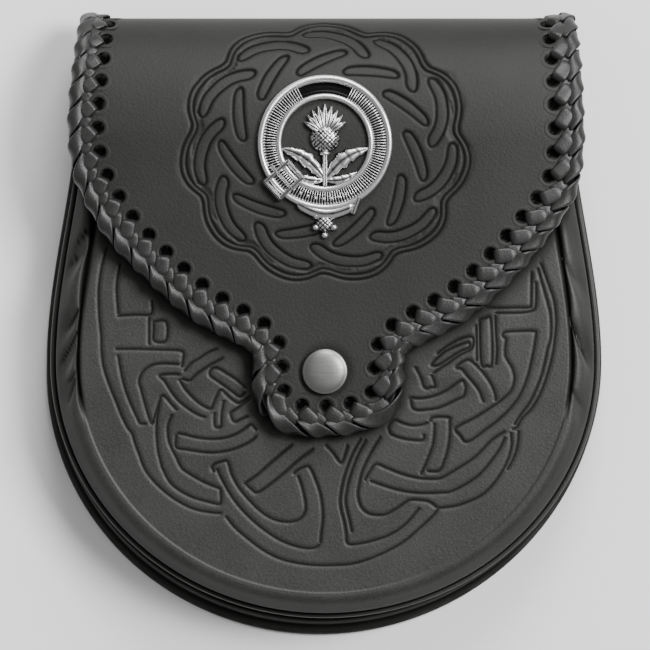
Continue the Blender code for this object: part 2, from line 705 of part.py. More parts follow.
def flat_shape(outlines, low, high):
    """A flat plate between two heights, from closed outlines; an outline inside another is a hole."""
    curve = bpy.data.curves.new("plate", "CURVE")
    curve.dimensions = "2D"
    curve.fill_mode = "BOTH"
    curve.extrude = (high - low) / 2.0
    for points in outlines:
        line = curve.splines.new("POLY")
        line.points.add(len(points) - 1)
        for place, (x, y) in zip(line.points, points):
            place.co = (x, y, 0.0, 1.0)
        line.use_cyclic_u = True
    obj = bpy.data.objects.new("plate", curve)
    obj.location = (0.0, 0.0, (high + low) / 2.0)
    bpy.context.scene.collection.objects.link(obj)
    bpy.context.view_layer.update()
    mesh = bpy.data.meshes.new_from_object(obj.evaluated_get(bpy.context.evaluated_depsgraph_get()))
    bm = bmesh.new()
    bm.from_mesh(mesh)
    bmesh.ops.remove_doubles(bm, verts=bm.verts, dist=1e-6)
    bmesh.ops.transform(bm, matrix=obj.matrix_world, verts=bm.verts)
    bm.to_mesh(mesh)
    bm.free()
    bpy.data.objects.remove(obj)
    solid = bpy.data.objects.new("plate", mesh)
    solid.hide_render = True
    solid.display_type = "WIRE"
    CUTTERS.objects.link(solid)
    return solid


def circle(radius, sides=BADGE_SIDES, centre=(0.0, 0.0)):
    turn = np.linspace(0.0, 2.0 * math.pi, sides, endpoint=False)
    return np.column_stack([centre[0] + radius * np.cos(turn), centre[1] + radius * np.sin(turn)])


def leaf(root, tip, width, teeth):
    """The outline of a toothed leaf from its root to its tip."""
    root, tip = np.array(root), np.array(tip)
    along = tip - root
    across = np.array([-along[1], along[0]]) / np.linalg.norm(along)
    share = np.linspace(0.0, 1.0, 2 * teeth + 1)
    swell = width * (0.25 + 0.75 * np.sin(math.pi * np.clip(share, 0.0, 0.97) ** 0.8))
    swell *= np.where(np.arange(len(share)) % 2 == 0, LEAF_NOTCH, 1.0)
    upper = root + share[:, None] * along + swell[:, None] * across
    lower = root + share[::-1, None] * along - swell[::-1, None] * across
    return np.concatenate([upper, lower[1:]])


def thistle(size):
    """Outlines of a thistle's tuft, bulb, stem and two leaves, to fit in a ring of that radius."""
    turn = np.radians(np.linspace(*TUFT_ANGLES, TUFT_SPIKES))
    spikes = np.where(np.arange(TUFT_SPIKES) % 2 == 0, *TUFT_REACH)
    tuft = np.column_stack([spikes * np.cos(turn) * TUFT_WIDTH, TUFT_SEAT + spikes * np.sin(turn)])
    tuft = np.concatenate([tuft, [[-BULB_NECK, 0.0], [BULB_NECK, 0.0]]])
    bulb = circle(BULB[0], BULB_SIDES, (0.0, BULB[1]))
    at_bulb, at_foot, length = STEM
    stem = np.array([[-at_bulb, 0.0], [-at_foot, -length], [at_foot, -length], [at_bulb, 0.0]])
    mirror = np.array([-1.0, 1.0])
    leaves = [leaf(LEAF_ROOT * flip, LEAF_TIP * flip, LEAF_WIDTH, LEAF_TEETH) for flip in (mirror, mirror**2)]
    return [shape * size for shape in (tuft, bulb, stem, *leaves)]


def buckle_frame(centre, turn):
    """Outer and inner outline of the square buckle on the ring's lower left."""
    square = np.array([[-1.0, -1.0], [1.0, -1.0], [1.0, 1.0], [-1.0, 1.0]]) * BUCKLE * BUCKLE_HALF_WIDTH
    spin = np.array([[math.cos(turn), -math.sin(turn)], [math.sin(turn), math.cos(turn)]])
    return [square @ spin.T + centre, (square * BUCKLE_OPENING) @ spin.T + centre]


def pendant():
    """The outline of the pendant under the ring, mirrored from its left half."""
    left = np.array(PENDANT)
    whole = np.concatenate([left, (left * [-1.0, 1.0])[::-1][1:]])
    length = BADGE_DROP - BADGE_RADIUS + PENDANT_LAP
    return whole * [PENDANT_HALF_WIDTH, length] + [0.0, PENDANT_LAP - BADGE_RADIUS]


def badge():
    """The cast badge: a strap bent to a ring with its buckle and hanging end, round a thistle."""
    mid_band = (BADGE_RADIUS + BADGE_BAND_INNER) / 2.0
    plate = [circle(BADGE_RADIUS - PLATE_INSET), circle(BADGE_BAND_INNER + PLATE_INSET)]
    outer_rim = [circle(BADGE_RADIUS), circle(BADGE_RADIUS - RIM_WIDTH)]
    inner_rim = [circle(BADGE_BAND_INNER + INNER_RIM_WIDTH), circle(BADGE_BAND_INNER)]
    layers = [(plate, BADGE_PLATE), (outer_rim, RIM_HEIGHT), (inner_rim, RIM_HEIGHT - PLATE_STEP)]
    for k, shape in enumerate(thistle(BADGE_BAND_INNER + INNER_RIM_WIDTH / 2.0)):
        layers.append(([shape], MOTIF_HEIGHT - k * 2 * PLATE_STEP))
    seat = np.array([math.cos(BUCKLE_TURN), math.sin(BUCKLE_TURN)]) * mid_band
    layers.append((buckle_frame(seat, BUCKLE_TURN + math.pi / 2.0), RIM_HEIGHT + 3 * PLATE_STEP))
    layers.append(([pendant()], RIM_HEIGHT + PLATE_STEP))
    pieces = [flat_shape(outlines, k * PLATE_STEP, high) for k, (outlines, high) in enumerate(layers)]
    for side in (-1, 1):
        post = circle(BADGE_POST_RADIUS, POST_SIDES, (side * BADGE_POST_SPREAD, 0.0))
        pieces.append(flat_shape([post], -FLAP_LEATHER, BADGE_PLATE / 2.0))

    body, *others = pieces
    for other in others:
        join = body.modifiers.new("join", "BOOLEAN")
        join.operation = "UNION"
        join.object = other
    bpy.context.view_layer.update()
    mesh = bpy.data.meshes.new_from_object(body.evaluated_get(bpy.context.evaluated_depsgraph_get()))
    mesh.name = "badge"
    coloured(mesh, PEWTER, PEWTER_ROUGHNESS, 1.0)
    for piece in pieces:
        bpy.data.objects.remove(piece)
    laid_on_flap(mesh)
    mesh.shade_smooth()
    mesh.set_sharp_from_angle(angle=SMOOTH_ANGLE)
    obj = bpy.data.objects.new("badge", mesh)
    PIECES.objects.link(obj)
    return obj


def laid_on_flap(mesh):
    """Bends the flat badge to the flap's round, a gap clear of the leather."""
    bm = bmesh.new()
    bm.from_mesh(mesh)
    bmesh.ops.triangulate(bm, faces=bm.faces)
    flat = np.array([v.co for v in bm.verts])
    down = float(down_at(BADGE_Y)) - flat[:, 1]
    laid = sheet_point(flat[:, 0], down) + sheet_normal(flat[:, 0], down) * (flat[:, 2:] + GAP)
    for vert, point in zip(bm.verts, laid):
        vert.co = point
    bm.to_mesh(mesh)
    bm.free()


def belt_loop(name, x):
    """A strap loop sewn to the back at both ends. Its middle lies flat on the surface underneath."""
    low_y = LOOP_TOP_Y - LOOP_LENGTH
    sewn = [(y, float(back_z(y)) - GAP - LOOP_LEATHER) for y in (low_y, low_y + LOOP_TAB)]
    top = [(y, float(back_z(y)) - GAP - LOOP_LEATHER) for y in (LOOP_TOP_Y - LOOP_TAB, LOOP_TOP_Y)]
    flat = [(low_y + LOOP_TAB + LOOP_RAMP, 0.0), (LOOP_TOP_Y - LOOP_TAB - LOOP_RAMP, 0.0)]
    edge = np.array([*sewn, *flat, *top])
    right = np.column_stack([np.full(len(edge), x + LOOP_WIDTH / 2.0), edge])
    left = np.column_stack([np.full(len(edge), x - LOOP_WIDTH / 2.0), edge])
    return sheet_object(name, [np.stack([right, left], axis=1)], LOOP_LEATHER)


def main():
    clear_scene()
    lace_holes = rods_through_flap("lace_holes", hole_places(), HOLE_RADIUS, HOLE_SIDES)
    badge_down = float(down_at(BADGE_Y))
    posts = np.array([[side * BADGE_POST_SPREAD, badge_down] for side in (-1, 1)])
    post_holes = rods_through_flap("post_holes", posts, BADGE_POST_RADIUS + GAP, POST_SIDES)
    snap_place = np.array([[0.0, float(down_at(SNAP_Y))]])
    snap_hole = rods_through_flap("snap_hole", snap_place, SNAP_POST_RADIUS + GAP, SNAP_SIDES)
    stud_rod = (Vector((0.0, SNAP_Y, float(face_z(0.0, SNAP_Y)))), Vector((0.0, 0.0, 1.0)))
    stud_hole = cutter_rods("stud_hole", [stud_rod], SNAP_POST_RADIUS + GAP, SNAP_SIDES)

    back_and_flap([lace_holes, post_holes, snap_hole])
    cut(pouch_front(), stud_hole)
    gusset()
    flap_lacing()
    snap_cap()
    snap_stud()
    badge()
    belt_loop("belt_loop_left", -LOOP_X)
    belt_loop("belt_loop_right", LOOP_X)


main()
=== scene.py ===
import math

import bmesh
import bpy
import numpy as np
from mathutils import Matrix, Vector


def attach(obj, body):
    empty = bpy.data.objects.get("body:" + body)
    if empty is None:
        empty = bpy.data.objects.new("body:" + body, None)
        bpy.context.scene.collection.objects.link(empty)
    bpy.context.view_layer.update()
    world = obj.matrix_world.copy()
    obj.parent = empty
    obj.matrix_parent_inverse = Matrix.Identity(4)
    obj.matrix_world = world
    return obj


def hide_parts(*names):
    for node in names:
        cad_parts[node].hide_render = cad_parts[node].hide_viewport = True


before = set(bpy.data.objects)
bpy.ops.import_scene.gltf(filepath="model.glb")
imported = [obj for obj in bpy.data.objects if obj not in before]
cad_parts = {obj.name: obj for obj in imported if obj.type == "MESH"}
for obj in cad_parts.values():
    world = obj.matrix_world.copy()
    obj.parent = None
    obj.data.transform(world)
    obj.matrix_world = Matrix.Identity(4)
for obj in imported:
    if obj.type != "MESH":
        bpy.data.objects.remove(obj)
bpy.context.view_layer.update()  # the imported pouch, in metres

mm = 0.001  # shapes are worked out in millimetres and become metres in the mesh

# The photograph's frame laid on the pouch, seen straight from above
photo = {"mmPerPixel": 0.3274, "middleX": 325.0, "middleY": 323.56}

# Leather body, the same sizes as the solids
body = {
    "widestY": -12.8,
    "mouthY": 77.2,
    "faceHalfWidth": 81.0,
    "faceFoot": 75.7,
    "wallRun": 9.2,
    "wallRunFoot": 8.2,
    "mouthNarrowing": 10.4,
    "lipZ": 17.8,
    "faceZ": 32.8,
    "faceFall": 6.2,
    "faceCrown": 1.2,
    "thick": 2.0,
    "gap": 0.3,
}
fold = {
    "topY": 100.2,
    "radius": 6.4,
    "browLength": 40.0,
    "flapZ": 40.2,
    "backRise": 9.3,
    "tabRun": 30.0,
    "tabDrop": 0.7,
    "droop": 1.6,
    "droopRun": 30.0,
    "thick": 2.4,
    "spreadSide": 0.4,
    "spreadFoot": 5.5,
    "spreadTurn": math.radians(14.0),
    "edgeRound": 0.35,
    "seamBelow": 1.5,
    "seamBeyond": 2.0,
}


def smoothStep(share):
    # an S from 0 to 1: three squares less two cubes
    share = np.clip(share, 0.0, 1.0)
    return share * share * (3.0 - 2.0 * share)


def fromPhoto(points):
    # pixels of the photograph to millimetres on the pouch
    points = np.asarray(points, float)
    across = (points[:, 0] - photo["middleX"]) * photo["mmPerPixel"]
    up = (photo["middleY"] - points[:, 1]) * photo["mmPerPixel"]
    return np.column_stack([across, up])


def spline(points, steps):
    # Catmull-Rom: each stretch is a cubic whose ends follow the points before and after it
    points = np.asarray(points, float)
    ends = np.concatenate([[2 * points[0] - points[1]], points, [2 * points[-1] - points[-2]]])
    t = np.linspace(0.0, 1.0, steps, endpoint=False)[None, :, None]
    before, a, b, after = (ends[k : len(ends) - 3 + k, None] for k in range(4))
    made = 2 * a + (b - before) * t + (2 * before - 5 * a + 4 * b - after) * t**2
    made = 0.5 * (made + (3 * a - before - 3 * b + after) * t**3)
    return np.concatenate([made.reshape(-1, points.shape[1]), points[-1:]])


def evenly(line, steps):
    # the same line in even steps of its length
    length = np.concatenate([[0.0], np.cumsum(np.linalg.norm(np.diff(line, axis=0), axis=1))])
    at = np.linspace(0.0, length[-1], steps + 1)
    return np.column_stack([np.interp(at, length, column) for column in line.T])


def unit(vectors):
    # each vector over its own length
    return vectors / np.maximum(np.linalg.norm(vectors, axis=-1, keepdims=True), 1e-9)


def gridQuads(index):
    # the four corners of each cell of a grid of point numbers
    corners = [index[:-1, :-1], index[:-1, 1:], index[1:, 1:], index[1:, :-1]]
    return np.stack(corners, axis=-1).reshape(-1, 4)


def closedPiece(name, grids, marks=None, triangles=None):
    # Grids of points, rows by columns, welded where they meet. marks holds, by name, a value or a
    # vector for each point of each grid (None where a grid has none). triangles are loose corners.
    extra = np.zeros((0, 3, 3)) if triangles is None else np.concatenate(triangles)
    counts = [g.shape[0] * g.shape[1] for g in grids]
    starts = np.concatenate([[0], np.cumsum(counts)])
    points = np.concatenate([*(g.reshape(-1, 3) for g in grids), extra.reshape(-1, 3)])
    quads = np.concatenate(
        [gridQuads(np.arange(n).reshape(g.shape[:2]) + s) for g, n, s in zip(grids, counts, starts)]
    )
    loose = np.arange(len(extra) * 3) + starts[-1]
    mesh = bpy.data.meshes.new(name)
    mesh.vertices.add(len(points))
    mesh.vertices.foreach_set("co", (points * mm).astype(np.float32).ravel())
    mesh.loops.add(quads.size + loose.size)
    mesh.loops.foreach_set("vertex_index", np.concatenate([quads.ravel(), loose]).astype(np.int32))
    mesh.polygons.add(len(quads) + len(extra))
    firsts = np.concatenate([np.arange(len(quads)) * 4, quads.size + np.arange(len(extra)) * 3])
    mesh.polygons.foreach_set("loop_start", firsts.astype(np.int32))
    mesh.update(calc_edges=True)
    for mark, values in (marks or {}).items():
        wide = max(1 if v is None or v.ndim == 2 else 3 for v in values)
        flat = [
            np.zeros((n, wide)) if v is None else v.reshape(n, wide) for v, n in zip(values, counts)
        ]
        flat = np.concatenate([*flat, np.zeros((len(extra) * 3, wide))])
        kind, field = ("FLOAT", "value") if wide == 1 else ("FLOAT_VECTOR", "vector")
        layer = mesh.attributes.new(mark, kind, "POINT")
        layer.data.foreach_set(field, flat.astype(np.float32).ravel())
    bm = bmesh.new()
    bm.from_mesh(mesh)
    bmesh.ops.remove_doubles(bm, verts=bm.verts, dist=1e-6)
    bmesh.ops.dissolve_degenerate(bm, dist=1e-7, edges=bm.edges)
    bmesh.ops.recalc_face_normals(bm, faces=bm.faces)
    if bm.calc_volume(signed=True) < 0.0:
        bmesh.ops.reverse_faces(bm, faces=bm.faces)
    bm.to_mesh(mesh)
    bm.free()
    mesh.shade_smooth()
    obj = bpy.data.objects.new(name, mesh)
    bpy.context.scene.collection.objects.link(obj)
    return obj


def ribbons(centre, up, halfWide, halfThick, corners=12, flatness=0.62):
    # Flat strips with round edges: at each step along a strip its section is a flattened ellipse,
    # and a point closes each end. centre and up are strips by steps by 3, the halves strips by steps.
    along = unit(np.gradient(centre, axis=1))
    across = unit(np.cross(along, up))
    up = np.cross(across, along)
    turn = np.linspace(0.0, 2.0 * math.pi, corners + 1)
    wide = np.sign(np.cos(turn)) * np.abs(np.cos(turn)) ** flatness
    high = np.sign(np.sin(turn)) * np.abs(np.sin(turn)) ** 0.85
    side = across[:, :, None] * (halfWide[:, :, None] * wide)[..., None]
    lift = up[:, :, None] * (halfThick[:, :, None] * high)[..., None]
    rings = centre[:, :, None] + side + lift
    first = np.broadcast_to(centre[:, :1, None], rings[:, :1].shape)
    last = np.broadcast_to(centre[:, -1:, None], rings[:, -1:].shape)
    rings = np.concatenate([first, rings, last], axis=1)
    # how near each point is to a strip's side: its rubbed edge, which also paints a highlight there
    rim = np.broadcast_to(np.abs(wide) ** 4, rings.shape[:3])
    return list(rings), list(rim)


# Shape of the leather

def middleLine(steps=160):
    # The fold and flap from the side: a quarter round, a quarter ellipse, then level with a dip at
    # the tab. Gives the distance along the leather from the crest (minus is behind it), y and z.
    turn = np.linspace(0.0, math.pi / 2.0, steps)
    crestZ = fold["backRise"] + fold["radius"]
    levelY = fold["topY"] - fold["browLength"]
    foldY = fold["topY"] - fold["radius"] * (1.0 - np.sin(turn))
    foldZ = crestZ - fold["radius"] * np.cos(turn)
    browY = levelY + fold["browLength"] * np.cos(turn[1:])
    browZ = crestZ + (fold["flapZ"] - crestZ) * np.sin(turn[1:])
    endY = fold["topY"] - lacing["holeDrop"] - 2.0 * lacing["inset"]
    flatY = np.linspace(levelY, endY, steps)[1:]
    dipFrom = fold["topY"] - lacing["holeDrop"] - lacing["inset"] + fold["tabRun"]
    flatZ = fold["flapZ"] - fold["tabDrop"] * np.clip((dipFrom - flatY) / fold["tabRun"], 0.0, 2.0) ** 2
    y = np.concatenate([foldY, browY, flatY])
    z = np.concatenate([foldZ, browZ, flatZ])
    length = np.concatenate([[0.0], np.cumsum(np.hypot(np.diff(y), np.diff(z)))])
    return length - length[steps - 1], y, z


def downAt(y):
    # how far down the leather from the crest a height of the photograph is
    ahead = lineDown >= 0.0
    return np.interp(-np.asarray(y, float), -lineY[ahead], lineDown[ahead])


def sheetPoint(x, down):
    # the flap's outside at a place across and a distance down from the crest; its sides hang
    x, down = np.broadcast_arrays(np.asarray(x, float), np.asarray(down, float))
    z = np.interp(down, lineDown, lineZ)
    z = z - fold["droop"] * (np.abs(x) / lacing["holeHalfWidth"]) ** 4 * smoothStep(down / fold["droopRun"])
    return np.stack([x, np.interp(down, lineDown, lineY), z], axis=-1)


def sheetNormal(x, down):
    # the cross product of two short chords of the outside
    step = 0.4
    across = sheetPoint(x + step, down) - sheetPoint(x - step, down)
    along = sheetPoint(x, down - step) - sheetPoint(x, down + step)
    return unit(np.cross(across, along))


def bodyOutline(out, angles, rises):
    # The front's outline a share of the way from its crease to the edge of its lip: up a flank from
    # the widest height to the mouth, and a quarter ellipse round the foot. Right half, foot first.
    halfWidth = body["faceHalfWidth"] + out * body["wallRun"]
    foot = body["faceFoot"] + out * body["wallRunFoot"]
    x = np.concatenate([halfWidth * np.sin(angles), halfWidth - body["mouthNarrowing"] * smoothStep(rises)])
    way = body["mouthY"] - body["widestY"]
    y = np.concatenate([body["widestY"] - foot * np.cos(angles), body["widestY"] + rises * way])
    return np.column_stack([x, y])


def creaseZ(y):
    # level up to the widest height, then falling with the square of the way to the mouth
    share = np.clip((y - body["widestY"]) / (body["mouthY"] - body["widestY"]), 0.0, 1.0)
    return body["faceZ"] - body["faceFall"] * share**2


def faceZ(x, y):
    # the crease's height plus a low crown that falls to nothing at the crease
    rise = (y - body["widestY"]) / (body["mouthY"] - body["widestY"])
    halfWidth = body["faceHalfWidth"] - body["mouthNarrowing"] * smoothStep(rise)
    footShare = np.clip((body["widestY"] - y) / body["faceFoot"], 0.0, 1.0)
    return creaseZ(y) + body["faceCrown"] * np.clip(1.0 - (x / halfWidth) ** 2 - footShare**2, 0.0, 1.0)


def backZ(y):
    # the back's outside, a straight slope from its foot up to the fold
    footY = body["widestY"] - body["faceFoot"] - body["wallRunFoot"] - fold["spreadFoot"]
    return fold["backRise"] * (y - footY) / (fold["topY"] - fold["radius"] - footY)


# Tooled lines

tool = {"reach": 1.8, "fade": 1.05, "apart": 2.6, "bank": 0.7, "width": 0.50, "depth": 0.42, "sink": 0.42,
        "stretch": 16}


def strokeField(strokes, places):
    # Signed distance from each place to the nearest tooled line (minus inside a closed one), how surely
    # it counts there, and how far inside a closed line the place is sunk, from 0 to 1. Lines that come
    # near each other go on different layers, so that a layer's distance never jumps.
    layers = []
    for line in strokes:
        for layer in layers:
            apart = min(np.linalg.norm(other[:, None] - line[None], axis=-1).min() for other in layer)
            if apart > tool["apart"]:
                layer.append(line)
                break
        else:
            layers.append([line])
    fields, sunk = [], np.zeros(len(places))
    for layer in layers:
        best = np.full(len(places), tool["reach"])
        signed, sure = best.copy(), np.zeros(len(places))
        for line in layer:
            shut = np.linalg.norm(line[0] - line[-1]) < 1e-6
            turned = np.sign(np.sum(line[:-1, 0] * line[1:, 1] - line[1:, 0] * line[:-1, 1]))
            for start in range(0, len(line) - 1, tool["stretch"]):
                part = line[start : start + tool["stretch"] + 1]
                low, high = part.min(0) - tool["reach"], part.max(0) + tool["reach"]
                pick = np.flatnonzero(((places > low) & (places < high)).all(axis=1))
                if not len(pick):
                    continue
                way = np.diff(part, axis=0)
                rel = places[pick][:, None] - part[:-1][None]
                share = (rel * way).sum(-1) / (way * way).sum(-1)
                gaps = np.linalg.norm(rel - np.clip(share, 0.0, 1.0)[..., None] * way, axis=-1)
                k, rows = gaps.argmin(axis=1), np.arange(len(pick))
                gap = gaps[rows, k]
                side = np.sign(way[k, 0] * rel[rows, k, 1] - way[k, 1] * rel[rows, k, 0])
                past = (share[rows, k] < -0.2) & (k + start == 0)
                past |= (share[rows, k] > 1.2) & (k + start == len(line) - 2)
                closer = gap < best[pick]
                chosen = pick[closer]
                best[chosen] = gap[closer]
                signed[chosen] = (gap * side * (-turned if shut else 1.0))[closer]
                sure[chosen] = np.where(past & (not shut), 0.0, 1.0)[closer]
                if shut:
                    inside = smoothStep(-signed[chosen] / tool["bank"])
                    sunk[chosen] = inside
        sure *= np.clip((tool["fade"] - best) / 0.3, 0.0, 1.0)
        fields.append(np.column_stack([signed, sure, np.zeros(len(places))]))
    return fields, sunk


def toolDepth(fields):
    # how deep the tool pressed at each place, 1 in the middle of a line
    return np.max([f[:, 1] * np.exp(-((f[:, 0] / tool["width"]) ** 2)) for f in fields], axis=0)



# Ring of eleven loops round the badge, as turn in degrees and radius in pixels of the photograph
ring = {
    "centreY": 57.5,
    "squeezeX": 0.967,
    "stretchUp": 0.99,
    "stretchDown": 1.0356,
    "loops": 11,
    "firstTurn": 137.3,
    "bandWidth": 5.6,
    "slotsWithin": 42.5,
}
ringLobe = [
    (0.0, 130.6), (3.3, 131.2), (6.8, 134.6), (10.9, 138.1), (15.3, 140.2), (19.2, 141.0), (23.0, 140.2),
    (26.7, 137.6), (30.0, 133.6),
]
ringSlot = [
    (26.7, 127.3), (22.5, 127.8), (18.4, 127.5), (13.9, 125.6), (9.4, 123.3), (5.5, 120.3),
    (1.7, 116.3), (-1.9, 111.7), (-5.2, 106.3), (-5.9, 102.5), (-3.8, 100.2), (-0.4, 101.2),
    (3.6, 106.5), (7.7, 110.8), (11.4, 113.4), (15.3, 116.0), (19.7, 118.0), (24.0, 118.6),
    (27.0, 119.8), (28.4, 123.4), (26.7, 127.3),
]
ringSpoke = [
    (36.2, 84.1), (31.7, 87.7), (24.0, 93.1), (17.1, 97.8), (11.7, 101.7), (8.4, 102.6),
    (6.3, 100.9), (7.6, 96.9), (14.6, 89.6), (23.7, 82.5), (33.3, 77.4), (36.4, 77.0),
    (38.0, 79.8), (36.2, 84.1),
]


def ringStrokes():
    # a slot and a spoke in each loop, and the scalloped edge twice, a band's width apart
    made = []
    turns = ring["firstTurn"] + np.arange(ring["loops"]) * 360.0 / ring["loops"]
    for shape in (ringSlot, ringSpoke):
        turn, radius = np.array(shape).T
        for first in turns:
            angle = np.radians(first + turn)
            flat = np.column_stack([np.cos(angle), np.sin(angle)]) * (radius * photo["mmPerPixel"])[:, None]
            made.append(spline(flat, 4))
    turn, radius = np.array(ringLobe).T
    angle = np.radians((turns[:, None] + turn).ravel())
    for inwards in (0.0, ring["bandWidth"]):
        reach = (np.tile(radius, ring["loops"]) - inwards) * photo["mmPerPixel"]
        edge = np.column_stack([np.cos(angle), np.sin(angle)]) * reach[:, None]
        edge = spline(np.concatenate([edge[-1:], edge, edge[:2]]), 4)[4:-4]
        made.append(np.concatenate([edge[:-1], edge[:1]]))
    return made


def ringPlane(x, down):
    # a place on the flap to the ring's own round plane, measured along the leather
    up = float(downAt(ring["centreY"])) - down
    up = up * np.where(up > 0.0, ring["stretchUp"], ring["stretchDown"])
    return np.column_stack([x.ravel() * ring["squeezeX"], up.ravel()])


